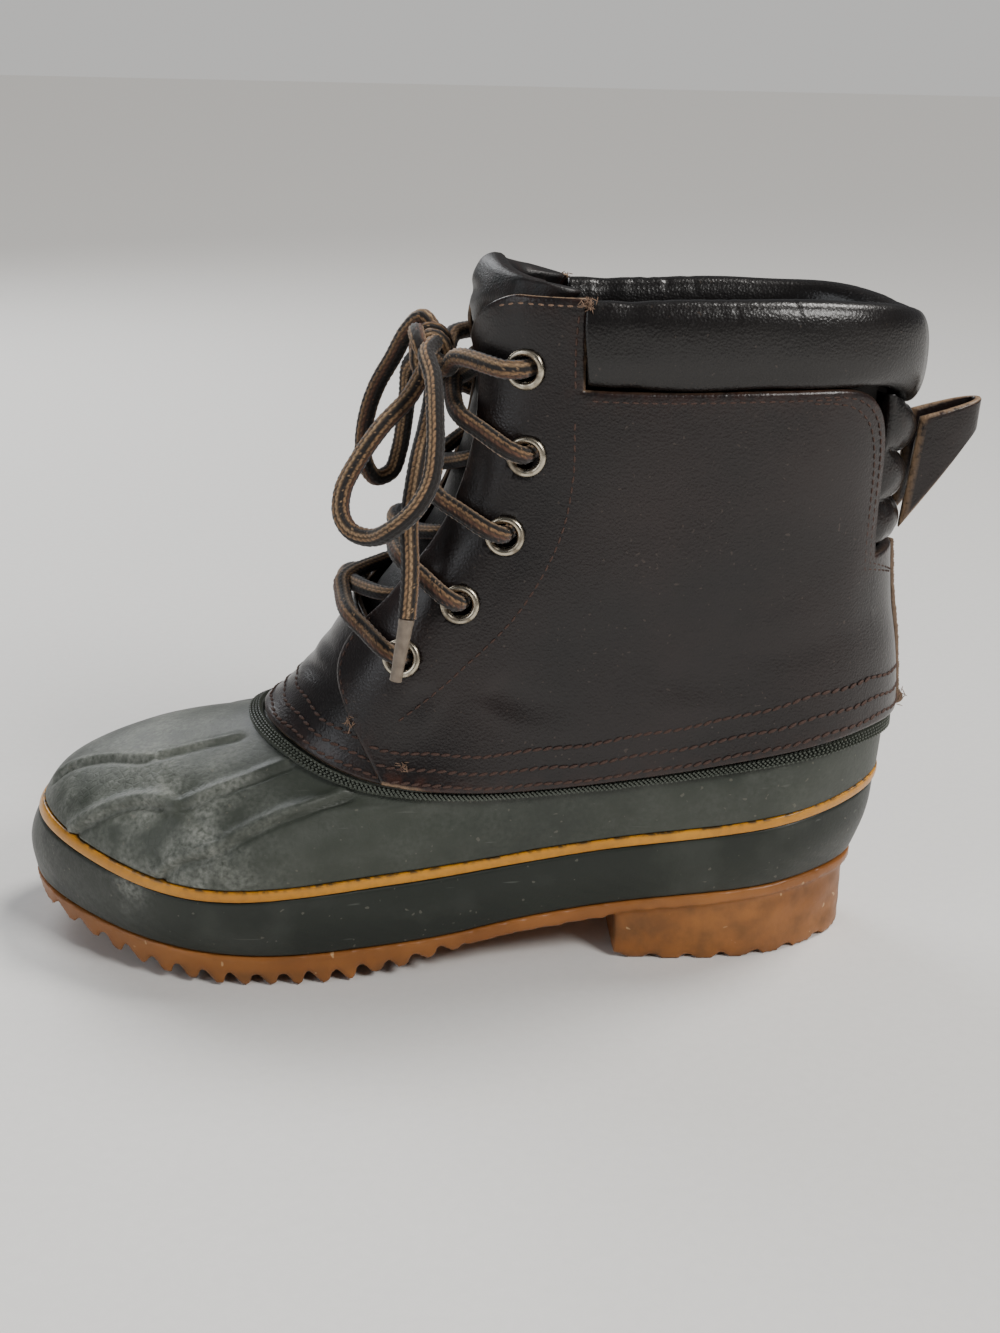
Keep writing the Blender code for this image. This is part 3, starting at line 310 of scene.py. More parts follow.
class Finish:
    def __init__(self, name, roughness, metallic=0.0, coat=0.0, coatRoughness=0.3, sheen=0.0):
        self.material = bpy.data.materials.new(name)
        self.material.use_nodes = True
        self.nodes = self.material.node_tree.nodes
        self.links = self.material.node_tree.links
        self.shader = self.nodes["Principled BSDF"]
        self.shader.inputs["Roughness"].default_value = roughness
        self.shader.inputs["Specular IOR Level"].default_value = 0.5 if metallic else 0.34
        self.shader.inputs["Metallic"].default_value = metallic
        self.shader.inputs["Coat Weight"].default_value = coat
        self.shader.inputs["Coat Roughness"].default_value = coatRoughness
        self.shader.inputs["Sheen Weight"].default_value = sheen
        self.height = None

    def life(self, grain, mottle, speck, stretch=1.0):
        node = self.nodes.new("ShaderNodeGroup")
        node.node_tree = surfaceLife
        for name, value in (("Grain scale", grain), ("Mottle scale", mottle), ("Speck scale", speck),
                            ("Stretch", stretch)):
            node.inputs[name].default_value = value
        return node.outputs

    def attribute(self, name, output="Fac"):
        node = self.nodes.new("ShaderNodeAttribute")
        node.attribute_name = name
        return node.outputs[output]

    def blend(self, factor, a, b, mode="MIX"):
        node = self.nodes.new("ShaderNodeMix")
        node.data_type = "RGBA"
        node.blend_type = mode
        for socket, value in ((node.inputs[0], factor), (node.inputs[6], a), (node.inputs[7], b)):
            if isinstance(value, bpy.types.NodeSocket):
                self.links.new(value, socket)
            elif isinstance(value, (int, float)):
                socket.default_value = value
            else:
                socket.default_value = (*value, 1)
        return node.outputs[2]

    def maths(self, operation, a, b=0.0, c=0.0):
        node = self.nodes.new("ShaderNodeMath")
        node.operation = operation
        for socket, value in zip(node.inputs, (a, b, c)):
            if isinstance(value, bpy.types.NodeSocket):
                self.links.new(value, socket)
            else:
                socket.default_value = value
        return node.outputs[0]

    def remap(self, value, low, high, toLow=0.0, toHigh=1.0):
        node = self.nodes.new("ShaderNodeMapRange")
        self.links.new(value, node.inputs["Value"])
        for name, number in (("From Min", low), ("From Max", high), ("To Min", toLow), ("To Max", toHigh)):
            node.inputs[name].default_value = number
        return node.outputs["Result"]

    def noise(self, scale, detail=3.0, coordinates="Object", stretch=(1, 1, 1)):
        place = self.nodes.new("ShaderNodeTexCoord")
        mapping = self.nodes.new("ShaderNodeMapping")
        mapping.inputs["Scale"].default_value = stretch
        texture = self.nodes.new("ShaderNodeTexNoise")
        texture.inputs["Scale"].default_value = scale
        texture.inputs["Detail"].default_value = detail
        self.links.new(place.outputs[coordinates], mapping.inputs["Vector"])
        self.links.new(mapping.outputs[0], texture.inputs["Vector"])
        return texture.outputs[0]

    def cracks(self, scale, width):
        place = self.nodes.new("ShaderNodeTexCoord")
        texture = self.nodes.new("ShaderNodeTexVoronoi")
        texture.feature = "DISTANCE_TO_EDGE"
        texture.inputs["Scale"].default_value = scale
        self.links.new(place.outputs["Object"], texture.inputs["Vector"])
        return self.remap(texture.outputs["Distance"], 0.0, width, 1.0, 0.0)

    def bump(self, value, depth, strength=1.0):
        node = self.nodes.new("ShaderNodeBump")
        node.inputs["Distance"].default_value = depth
        node.inputs["Strength"].default_value = strength
        self.links.new(value, node.inputs["Height"])
        if self.height is not None:
            self.links.new(self.height, node.inputs["Normal"])
        self.height = node.outputs[0]
        self.links.new(self.height, self.shader.inputs["Normal"])

    def colour(self, value):
        if isinstance(value, bpy.types.NodeSocket):
            self.links.new(value, self.shader.inputs["Base Color"])
        else:
            self.shader.inputs["Base Color"].default_value = (*value, 1)

    def rough(self, value):
        self.links.new(value, self.shader.inputs["Roughness"])


leather = dict(dark=(0.0045, 0.0032, 0.0034), brown=(0.014, 0.0085, 0.008), raw=(0.34, 0.23, 0.14),
               dust=(0.10, 0.075, 0.06), rust=(0.05, 0.018, 0.011))


def makeLeather(name, dark, brown, roughness, grain, depth, coat):
    f = Finish(name, roughness, coat=coat, coatRoughness=0.28)
    life = f.life(grain, 22, 900)
    base = f.blend(life["Mottle"], dark, brown)
    base = f.blend(f.maths("MULTIPLY", life["Specks"], 0.3), base, leather["dust"])
    rub = f.attribute("rub")
    patch = f.maths("MULTIPLY", rub, f.remap(f.noise(260, 5), 0.38, 0.62))
    base = f.blend(patch, base, leather["rust"])
    raw = f.attribute("raw")
    fibre = f.blend(f.noise(1400, 3), leather["raw"], (0.20, 0.12, 0.07))
    edge = f.maths("MULTIPLY", raw, f.remap(f.noise(500, 4), 0.30, 0.50))
    f.colour(f.blend(edge, base, fibre))
    f.rough(f.maths("ADD", f.maths("MULTIPLY", life["Grain"], 0.22),
                    f.maths("MULTIPLY_ADD", raw, 0.3, roughness - 0.11)))
    f.bump(life["Cells"], depth, 0.55)
    f.bump(life["Grain"], depth * 0.8, 0.5)
    f.bump(life["Mottle"], depth * 5, 0.25)
    return f.material


brownLeather = makeLeather("brownLeather", leather["dark"], leather["brown"], 0.33, 1300, 0.16 * mm, 0.22)
padLeather = makeLeather("padLeather", (0.0040, 0.0034, 0.0034), (0.010, 0.0082, 0.0078), 0.30, 1250,
                         0.16 * mm, 0.22)
tongueLeather = makeLeather("tongueLeather", (0.0042, 0.0042, 0.0046), (0.010, 0.0092, 0.0095), 0.46, 1500,
                            0.14 * mm, 0.05)

rubber = dict(dark=(0.028, 0.033, 0.026), light=(0.050, 0.057, 0.045), bloom=(0.27, 0.28, 0.25))


def makeRubber(name, dark, light, roughness, ribs):
    f = Finish(name, roughness, coat=0.06, coatRoughness=0.4)
    life = f.life(950, 18, 650)
    base = f.blend(life["Mottle"], dark, light)
    bloom = f.attribute("bloom")
    cloud = f.maths("MULTIPLY", f.remap(f.noise(90, 8), 0.34, 0.66), f.remap(f.noise(700, 4), 0.25, 0.75))
    veil = f.maths("MULTIPLY_ADD", bloom, cloud, f.maths("MULTIPLY", f.remap(f.noise(40, 6), 0.5, 0.9), 0.15))
    base = f.blend(veil, base, rubber["bloom"])
    scratch = f.remap(f.noise(300, 2, stretch=(0.12, 1, 1.6)), 0.70, 0.76)
    base = f.blend(f.maths("MULTIPLY", scratch, 0.16), base, rubber["bloom"])
    base = f.blend(f.maths("MULTIPLY", life["Specks"], 0.4), base, (0.16, 0.15, 0.12))
    f.colour(base)
    f.rough(f.maths("MULTIPLY_ADD", veil, 0.25, f.maths("MULTIPLY_ADD", life["Grain"], 0.2, roughness - 0.1)))
    if ribs:
        place = f.nodes.new("ShaderNodeUVMap")
        place.uv_map = "run"
        wave = f.nodes.new("ShaderNodeTexWave")
        wave.bands_direction = "DIAGONAL"
        wave.inputs["Scale"].default_value = ribs
        wave.inputs["Distortion"].default_value = 0.0
        f.links.new(place.outputs[0], wave.inputs["Vector"])
        f.bump(wave.outputs["Fac"], 0.12 * mm, 0.5)
    crease = f.cracks(420, 0.16)
    f.bump(f.maths("MULTIPLY", crease, f.maths("ADD", bloom, 0.25)), -0.07 * mm, 0.7)
    f.bump(life["Grain"], 0.09 * mm, 0.5)
    return f.material


shellRubber = makeRubber("shellRubber", rubber["dark"], rubber["light"], 0.47, 0)
foxingRubber = makeRubber("foxingRubber", (0.0095, 0.0125, 0.0095), (0.018, 0.0225, 0.0165), 0.44, 60)
# painted light: a lighter copy of the shell's rubber, so the band and its studs read bright in the shade
# under the leather
litRimRubber = makeRubber("litRimRubber", (0.055, 0.062, 0.050), (0.085, 0.094, 0.078), 0.45, 0)


def makeStripeRubber():
    f = Finish("stripeRubber", 0.36, coat=0.25, coatRoughness=0.25)
    life = f.life(800, 30, 500)
    base = f.blend(life["Mottle"], (0.46, 0.185, 0.012), (0.62, 0.275, 0.020))
    dirt = f.maths("MULTIPLY", f.attribute("dirt"), f.remap(f.noise(420, 4), 0.42, 0.60))
    f.colour(f.blend(dirt, base, (0.07, 0.045, 0.02)))
    f.bump(life["Grain"], 0.08 * mm, 0.5)
    return f.material


def makeGum():
    f = Finish("gumRubber", 0.42, coat=0.12, coatRoughness=0.35)
    life = f.life(700, 35, 420)
    base = f.blend(life["Mottle"], (0.21, 0.072, 0.014), (0.33, 0.125, 0.028))
    dirt = f.maths("MULTIPLY", f.attribute("dirt"), f.remap(f.noise(130, 5), 0.35, 0.65))
    base = f.blend(f.maths("MULTIPLY", dirt, 0.75), base, (0.085, 0.042, 0.016))
    f.colour(f.blend(f.maths("MULTIPLY", life["Specks"], 0.5), base, (0.62, 0.42, 0.22)))
    f.rough(f.maths("MULTIPLY_ADD", dirt, 0.3, 0.38))
    f.bump(life["Grain"], 0.16 * mm, 0.5)
    return f.material


def makeMetal():
    f = Finish("eyeletMetal", 0.24, metallic=1.0)
    life = f.life(500, 120, 900)
    tarnish = f.remap(f.noise(420, 5), 0.44, 0.66)
    f.colour(f.blend(f.maths("MULTIPLY", tarnish, 0.7), (0.47, 0.42, 0.33), (0.14, 0.11, 0.08)))
    f.rough(f.maths("MULTIPLY_ADD", tarnish, 0.25, 0.22))
    f.bump(life["Grain"], 0.01 * mm, 0.3)
    return f.material


def makeYarn():
    f = Finish("laceYarn", 0.8, sheen=0.25)
    # the yarn colours carry painted shade in the gaps between stitches
    yarnWithShade = f.attribute("yarnWithShade", "Color")
    fibre = f.noise(2600, 2)
    f.colour(f.blend(f.remap(fibre, 0.3, 0.7, 0.0, 0.45), yarnWithShade, (0.03, 0.02, 0.015)))
    f.bump(fibre, 0.12 * mm, 0.6)
    return f.material


def makePlain(name, low, high, roughness, grain, depth, metallic=0.0, coat=0.0):
    f = Finish(name, roughness, metallic=metallic, coat=coat)
    life = f.life(grain, 60, 800)
    f.colour(f.blend(life["Grain"], low, high))
    f.bump(life["Grain"], depth, 0.7)
    return f.material


stripeRubber = makeStripeRubber()
gumRubber = makeGum()
eyeletMetal = makeMetal()
laceYarn = makeYarn()
aglet = dict(low=(0.10, 0.075, 0.055), high=(0.27, 0.22, 0.17))
agletTube = makePlain("agletTube", aglet["low"], aglet["high"], 0.5, 500, 0.2 * mm, coat=0.2)
darkThread = makePlain("darkThread", (0.026, 0.014, 0.011), (0.095, 0.053, 0.040), 0.75, 2500, 0.15 * mm)
paleThread = makePlain("paleThread", (0.10, 0.055, 0.035), (0.30, 0.20, 0.14), 0.85, 2500, 0.15 * mm)
rawEdge = makePlain("rawEdge", (0.055, 0.034, 0.024), (0.24, 0.165, 0.11), 0.9, 900, 0.5 * mm)
insoleFelt = makePlain("insoleFelt", (0.18, 0.16, 0.13), (0.32, 0.29, 0.24), 0.95, 1800, 0.3 * mm)
liningCloth = makePlain("liningCloth", (0.012, 0.011, 0.011), (0.03, 0.027, 0.025), 0.9, 2200, 0.25 * mm)


print("tools for shapes")


def stageObject(name, data):
    obj = bpy.data.objects.new(name, data)
    bpy.context.scene.collection.objects.link(obj)
    return obj


def faceOutward(mesh, merge=0.0):
    shape = bmesh.new()
    shape.from_mesh(mesh)
    if merge:
        bmesh.ops.remove_doubles(shape, verts=shape.verts, dist=merge)
    bmesh.ops.recalc_face_normals(shape, faces=shape.faces)
    shape.to_mesh(mesh)
    shape.free()


def runAlong(points):
    return np.concatenate([[0], np.cumsum(np.linalg.norm(np.diff(points, axis=0), axis=1))])


def gridRim(rows, columns):
    rim = list(range(columns)) + [j * columns + columns - 1 for j in range(1, rows)]
    rim += [(rows - 1) * columns + k for k in range(columns - 2, -1, -1)]
    rim += [j * columns for j in range(rows - 2, 0, -1)]
    return list(zip(rim, rim[1:] + rim[:1]))


# faces of a closed tube: rings of points one after the other, with a cap at each end
def tubeFaces(rings, sides):
    faces = []
    for i in range(rings - 1):
        for k in range(sides):
            a, b = i * sides + k, i * sides + (k + 1) % sides
            faces.append((a, b, b + sides, a + sides))
    faces.append(tuple(reversed(range(sides))))
    faces.append(tuple((rings - 1) * sides + k for k in range(sides)))
    return faces


def makeObject(name, points, faces, material, attributes=None, uv=None):
    mesh = bpy.data.meshes.new(name)
    mesh.from_pydata(np.asarray(points, float).reshape(-1, 3).tolist(), [], faces)
    mesh.shade_smooth()
    mesh.materials.append(material)
    for key, values in (attributes or {}).items():
        values = np.asarray(values, np.float32)
        if values.ndim == 1:
            mesh.attributes.new(key, "FLOAT", "POINT").data.foreach_set("value", values)
        else:
            layer = mesh.attributes.new(key, "FLOAT_COLOR", "POINT")
            layer.data.foreach_set("color", np.column_stack([values, np.ones(len(values))]).ravel())
    if uv is not None:
        corner = np.empty(len(mesh.loops), int)
        mesh.loops.foreach_get("vertex_index", corner)
        layer = mesh.uv_layers.new(name="run")
        layer.data.foreach_set("uv", np.asarray(uv, np.float32)[corner].ravel())
    return stageObject(name, mesh)


def dress(obj, slot, *nodes):
    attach(obj, "root")
    if nodes:
        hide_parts(*nodes)
    return obj


# soft troughs and ridges: a row of places (turn, level), height, width and how far the side groove goes
def reliefAlong(points, route, height, width, groove, fade, reach):
    places = smoothRoute(np.array(route, float), 120)
    line = bootSurface(places[:, 0], places[:, 1])
    up = surfaceNormal(places[:, 0], places[:, 1])
    along = np.gradient(line, axis=0)
    along /= np.linalg.norm(along, axis=1)[:, None]
    side = np.cross(along, up)
    near = np.zeros(len(points))
    mark = np.zeros(len(points))
    low, high = line.min(0) - 6 * width, line.max(0) + 6 * width
    inside = np.nonzero(((points > low) & (points < high)).all(1))[0]
    for part in np.array_split(inside, max(1, len(inside) // 4000)):
        if len(part) == 0:
            continue
        gap = points[part][:, None, :] - line[None]
        distance = np.linalg.norm(gap, axis=2)
        best = distance.argmin(1)
        pick = np.arange(len(part))
        across = (gap[pick, best] * side[best]).sum(1)
        share = best / (len(line) - 1)
        end = ease(share / fade[0]) * ease((1 - share) / fade[1])
        end = end * np.exp(-np.maximum(distance[pick, best] - np.abs(across), 0) ** 2 / width ** 2)
        ridge = np.exp(-(across / width) ** 2)
        dip = np.exp(-((across - reach * width) / (abs(reach) * 0.4 * width)) ** 2)
        near[part] = height * end * (ridge - groove * dip)
        mark[part] = end * ridge
    return near, mark


def smoothRoute(route, count):
    steps = np.linalg.norm(np.diff(route, axis=0), axis=1) ** 0.5
    knots = np.concatenate([[0], np.cumsum(steps)])
    fine = np.linspace(0, knots[-1], 30 * len(route))
    curve = np.stack([curveThrough(knots, route[:, k], fine, 1.0) for k in range(route.shape[1])], -1)
    run = runAlong(curve)
    at = np.linspace(0, run[-1], count)
    return np.stack([np.interp(at, run, curve[:, k]) for k in range(route.shape[1])], -1)


def waves(points, size, seed):
    # slow unevenness, summed from a few sines
    rng = np.random.default_rng(seed)
    total = np.zeros(len(points))
    for _ in range(7):
        way = rng.normal(size=3)
        way *= 2 * math.pi / (size * np.linalg.norm(way) * rng.uniform(0.6, 1.4))
        total += np.sin(points @ way + rng.uniform(0, 6.28))
    return total / 4


# closed band right round the boot: rows of (level, offset, marks) from the outside bottom up and down inside
def roundBand(name, columns, rows, material, attributes=()):
    turns = np.linspace(-1, 1, columns, endpoint=False)
    points, uv = [], []
    marks = {key: [] for key in attributes}
    for k, (level, offset, *mark) in enumerate(rows):
        levels = np.broadcast_to(np.asarray(level, float), (columns,))
        ring = offSurface(turns, levels, np.broadcast_to(np.asarray(offset, float), (columns,)))
        points.append(ring)
        step = np.linalg.norm(ring - np.roll(ring, 1, axis=0), axis=1)
        uv.append(np.column_stack([np.cumsum(step), ring[:, 2]]))
        for key, value in zip(attributes, mark or [0.0] * len(attributes)):
            marks[key].append(np.broadcast_to(value, (columns,)))
    count = len(rows)
    faces = []
    for j in range(count):
        a, b = j * columns, (j + 1) % count * columns
        for k in range(columns):
            after = (k + 1) % columns
            faces.append((a + k, a + after, b + after, b + k))
    values = {key: np.concatenate(v) for key, v in marks.items()}
    return makeObject(name, np.concatenate(points), faces, material, values, np.concatenate(uv))


# closed slab on the surface: grids of turns and levels with an outer and an inner offset
def slab(name, turns, levels, outer, inner, material, marks=None):
    rows, columns = turns.shape
    count = rows * columns
    flat = (turns.ravel(), levels.ravel())
    points = np.concatenate([offSurface(*flat, outer.ravel()), offSurface(*flat, inner.ravel())])
    flip = turns[0, 0] > turns[0, -1]
    faces = []
    for j in range(rows - 1):
        for k in range(columns - 1):
            a = j * columns + k
            quad = (a, a + 1, a + columns + 1, a + columns)
            back = tuple(count + v for v in reversed(quad))
            faces.append(tuple(reversed(quad)) if flip else quad)
            faces.append(tuple(reversed(back)) if flip else back)
    for a, b in gridRim(rows, columns):
        quad = (b, a, count + a, count + b)
        faces.append(tuple(reversed(quad)) if flip else quad)
    values = {key: np.concatenate([v.ravel(), v.ravel()]) for key, v in (marks or {}).items()}
    return makeObject(name, points, faces, material, values)


print("rubber bottom")
bottom = dict(columns=440, ringRows=84, innerRows=10, lap=0.538, foldDepth=1.0)
stripeLevel, rimLevel = 2, 5


def ringTurns():
    return np.linspace(-1, 1, bottom["columns"], endpoint=False)


# levels a little above or below the stripe's edges
def stripeEdge(turns, sign, gap=0.0):
    return levelAbove(turns, stripeLevel, sign * (walls["stripeHeight"] / 2 + gap))


# folds moulded in the toe: route in (turn, level), height, width, groove, fade at each end, reach
toeFolds = (
    (((0.136, 2.14), (0.154, 2.95), (0.168, 3.39), (0.188, 3.61), (0.206, 3.65), (0.216, 3.63)),
     1.7 * mm, 2.3 * mm, 1.0, (0.10, 0.03), 1.15),
    (((0.210, 3.60), (0.217, 3.85), (0.214, 4.15), (0.200, 4.42), (0.186, 4.62), (0.174, 4.86)),
     1.2 * mm, 1.8 * mm, 1.1, (0.05, 0.03), 1.2),
    (((0.024, 2.54), (0.036, 3.25), (0.064, 3.69), (0.098, 3.99), (0.106, 4.11)),
     1.1 * mm, 2.1 * mm, 0.9, (0.15, 0.05), 1.2),
    (((0.106, 4.08), (0.100, 4.30), (0.088, 4.50), (0.078, 4.78)), 0.9 * mm, 2.0 * mm, 0.9, (0.05, 0.1), 1.2),
    (((0.254, 2.22), (0.268, 2.95), (0.284, 3.17), (0.292, 3.45), (0.298, 3.75), (0.302, 4.17),
      (0.285, 4.50), (0.266, 4.84)), 1.6 * mm, 2.1 * mm, 1.1, (0.05, 0.03), 1.15),
    (((0.10, 4.02), (0.14, 3.91), (0.184, 3.73), (0.212, 3.61), (0.24, 3.45), (0.284, 3.17), (0.318, 2.44)),
     0.7 * mm, 2.8 * mm, 0.8, (0.2, 0.2), -1.2),
    (((-0.136, 2.14), (-0.154, 2.95), (-0.168, 3.39), (-0.200, 3.65), (-0.216, 3.9), (-0.195, 4.45),
      (-0.176, 4.84)), 1.5 * mm, 2.5 * mm, 0.9, (0.1, 0.05), -1.2),
    (((-0.254, 2.22), (-0.268, 2.95), (-0.292, 3.45), (-0.302, 4.17), (-0.266, 4.84)),
     1.5 * mm, 2.5 * mm, 0.9, (0.08, 0.05), -1.2),
)


def makeShell():
    columns, rows = bottom["columns"], bottom["ringRows"]
    turns = ringTurns()
    foxingTop = stripeEdge(turns, -1, walls["clear"])
    waist = stripeEdge(turns, 1, walls["clear"])
    step = stripeEdge(turns, 1, 2 * walls["clear"])
    tuck = levelAlong(turns, rimLevel, walls["clear"])
    top = levelAlong(turns, rimLevel, walls["underLeather"])
    climb = np.linspace(0, 1, rows)[:, None]
    outer = step + (tuck - step) * climb ** 0.92
    flat = np.tile(turns, rows)
    base = bootSurface(flat, outer.ravel())
    lift, mark = np.zeros(len(flat)), np.zeros(len(flat))
    for route, height, width, groove, fade, reach in toeFolds:
        more, seen = reliefAlong(base, route, height, width, groove, fade, reach)
        lift += bottom["foldDepth"] * more
        mark = np.maximum(mark, seen)
    lift += 0.16 * mm * waves(base, 34 * mm, 3)
    # upright dent where the side wall creases, behind the ball
    sideCrease = ((0.535, 2.3), (0.538, 3.4), (0.54, 4.5))
    lift += reliefAlong(base, sideCrease, -0.5 * mm, 3.5 * mm, -0.4, (0.2, 0.2), 1.6)[0]
    toe = ease((base[:, 0] - 0.135) / 0.05) * 0.55
    patch = np.exp(-(((base - bootSurface(0.268, 3.0)) / (20 * mm)) ** 2).sum(1))
    bloom = np.clip(0.10 + toe + 0.35 * mark + 0.6 * patch, 0, 1)
    lift, bloom = lift.reshape(rows, columns), bloom.reshape(rows, columns)
    inset = walls["foxing"] + walls["clear"]
    edge = np.clip((climb - 0.985) / 0.015, 0, 1)
    face = [(0.05 + 0 * turns, -inset), (foxingTop, -inset), (waist, -inset)]
    face += [(outer[j], lift[j] * (1 - edge[j]) - walls["tuck"] * edge[j], bloom[j]) for j in range(rows)]
    face += [(top, -walls["tuck"]), (top, -walls["tuck"] - walls["rubber"])]
    for s in np.linspace(1, 0, bottom["innerRows"])[1:]:
        face.append((step + (tuck - step) * s, -walls["rubber"]))
    face += [(waist, -inset - walls["rubber"]), (0.05 + 0 * turns, -inset - walls["rubber"])]
    rings = [row if len(row) == 3 else (*row, 0.1) for row in face]
    dress(roundBand("shell", columns, rings, shellRubber, ("bloom",)), "dark_rubber", "rubber_shell")


def makeFoxing():
    columns = bottom["columns"]
    turns = ringTurns()
    top = stripeEdge(turns, -1, walls["clear"])
    rings = []
    scuff = bootSurface(0.234, 1.58)
    for s in np.linspace(0, 1, 26):
        level = 0.0 + top * s
        point = offSurface(turns, level, np.zeros(columns))
        roundOff = 0.5 * mm * (max(0.0, 1 - s / 0.06) ** 2 + max(0.0, 1 - (1 - s) / 0.04) ** 2)
        bow = 0.35 * mm * math.sin(math.pi * s) - 0.25 * mm
        uneven = 0.12 * mm * waves(point, 30 * mm, 8) * math.sin(math.pi * s)
        toe = ease((point[:, 0] - 0.17) / 0.05) * 0.2
        bloom = np.clip(toe + 0.9 * np.exp(-(((point - scuff) / (7 * mm)) ** 2).sum(1)), 0, 1)
        rings.append((level, bow - roundOff + uneven, bloom))
    for s in (1.0, 0.5, 0.0):
        rings.append((top * s, -walls["foxing"], 0.0))
    dress(roundBand("foxingBand", columns, rings, foxingRubber, ("bloom",)), "foxing_rubber", "foxing")


def makeStripe():
    columns = bottom["columns"]
    turns = ringTurns()
    low, high = stripeEdge(turns, -1), stripeEdge(turns, 1)
    point = bootSurface(turns, (low + high) / 2)
    rings = []
    for angle in np.linspace(-0.5, 0.5, 13) * math.pi:
        across = 0.5 + 0.5 * math.sin(angle)
        out = walls["stripeProud"] * (0.25 + 0.85 * math.cos(angle) ** 0.7)
        dirt = np.full(columns, 0.15 + 0.85 * max(0.0, (across - 0.80) / 0.20))
        out = out + 0.10 * mm * waves(point, 22 * mm, 5) - 0.25 * mm
        rings.append((low + (high - low) * across, out, dirt))
    rings.append((high, -walls["foxing"], 0.5))
    rings.append((low, -walls["foxing"], 0.5))
    dress(roundBand("amberStripe", columns, rings, stripeRubber, ("dirt",)), "amber_rubber", "stripe")


# small studs or stitches, repeated on points that carry their own turn
def makeRepeater(name, solidKind):
    tree = bpy.data.node_groups.new(name, "GeometryNodeTree")
    tree.interface.new_socket("Geometry", in_out="INPUT", socket_type="NodeSocketGeometry")
    for label, value in (("Length", 2 * mm), ("Width", 0.8 * mm), ("Height", 0.5 * mm)):
        tree.interface.new_socket(label, in_out="INPUT", socket_type="NodeSocketFloat").default_value = value
    tree.interface.new_socket("Finish", in_out="INPUT", socket_type="NodeSocketMaterial")
    tree.interface.new_socket("Geometry", in_out="OUTPUT", socket_type="NodeSocketGeometry")
    nodes, links = tree.nodes, tree.links
    given, put = nodes.new("NodeGroupInput"), nodes.new("NodeGroupOutput")
    toPoints = nodes.new("GeometryNodeMeshToPoints")
    if solidKind == "stud":
        solid = nodes.new("GeometryNodeMeshCone")
        solid.inputs["Vertices"].default_value = 4
        solid.inputs["Radius Top"].default_value = 0.42
        solid.inputs["Radius Bottom"].default_value = 0.70
        solid.inputs["Depth"].default_value = 1.0
    else:
        solid = nodes.new("GeometryNodeMeshUVSphere")
        solid.inputs["Segments"].default_value = 8
        solid.inputs["Rings"].default_value = 6
        solid.inputs["Radius"].default_value = 0.5
    size = nodes.new("ShaderNodeCombineXYZ")
    turned = nodes.new("GeometryNodeInputNamedAttribute")
    turned.data_type = "FLOAT_VECTOR"
    turned.inputs["Name"].default_value = "spin"
    place = nodes.new("GeometryNodeInstanceOnPoints")
    real = nodes.new("GeometryNodeRealizeInstances")
    smooth = nodes.new("GeometryNodeSetShadeSmooth")
    smooth.inputs["Shade Smooth"].default_value = solidKind != "stud"
    paint = nodes.new("GeometryNodeSetMaterial")
    links.new(given.outputs["Geometry"], toPoints.inputs["Mesh"])
    links.new(toPoints.outputs[0], place.inputs["Points"])
    links.new(solid.outputs["Mesh"], place.inputs["Instance"])
    for label, axis in (("Length", "X"), ("Width", "Y"), ("Height", "Z")):
        links.new(given.outputs[label], size.inputs[axis])
    links.new(size.outputs[0], place.inputs["Scale"])
    links.new(turned.outputs["Attribute"], place.inputs["Rotation"])
    links.new(place.outputs[0], real.inputs[0])
    links.new(real.outputs[0], smooth.inputs[0])
    links.new(smooth.outputs[0], paint.inputs[0])
    links.new(given.outputs["Finish"], paint.inputs["Material"])
    links.new(paint.outputs[0], put.inputs["Geometry"])
    return tree


stitchTree = makeRepeater("stitchRow", "stitch")
studTree = makeRepeater("studRow", "stud")


def repeat(name, tree, points, along, up, sizes, material):
    along = along / np.linalg.norm(along, axis=1)[:, None]
    up = up - along * (up * along).sum(1)[:, None]
    up /= np.linalg.norm(up, axis=1)[:, None]
    side = np.cross(up, along)
    spin = [Matrix(np.column_stack(axes).tolist()).to_euler("XYZ")[:] for axes in zip(along, side, up)]
    mesh = bpy.data.meshes.new(name)
    mesh.from_pydata(points.tolist(), [], [])
    mesh.attributes.new("spin", "FLOAT_VECTOR", "POINT").data.foreach_set("vector", np.ravel(spin))
    obj = stageObject(name, mesh)
    modifier = obj.modifiers.new("Repeat", "NODES")
    modifier.node_group = tree
    inputs = {item.name: item.identifier for item in tree.interface.items_tree if item.in_out == "INPUT"}
    for label, value in zip(("Length", "Width", "Height"), sizes):
        modifier[inputs[label]] = value
    modifier[inputs["Finish"]] = material
    graph = bpy.context.evaluated_depsgraph_get()
    made = bpy.data.meshes.new_from_object(obj.evaluated_get(graph))
    obj.modifiers.clear()
    obj.data = made
    if not made.materials:
        made.materials.append(material)
    return obj


def lapAt(turns):
    return 1 + 0.55 * np.exp(-((turns - bottom["lap"]) / 0.012) ** 2)


knurl = dict(pitch=1.5 * mm, rows=4, first=0.18, step=0.213,
             length=1.0 * mm, width=0.86 * mm, height=1.1 * mm)


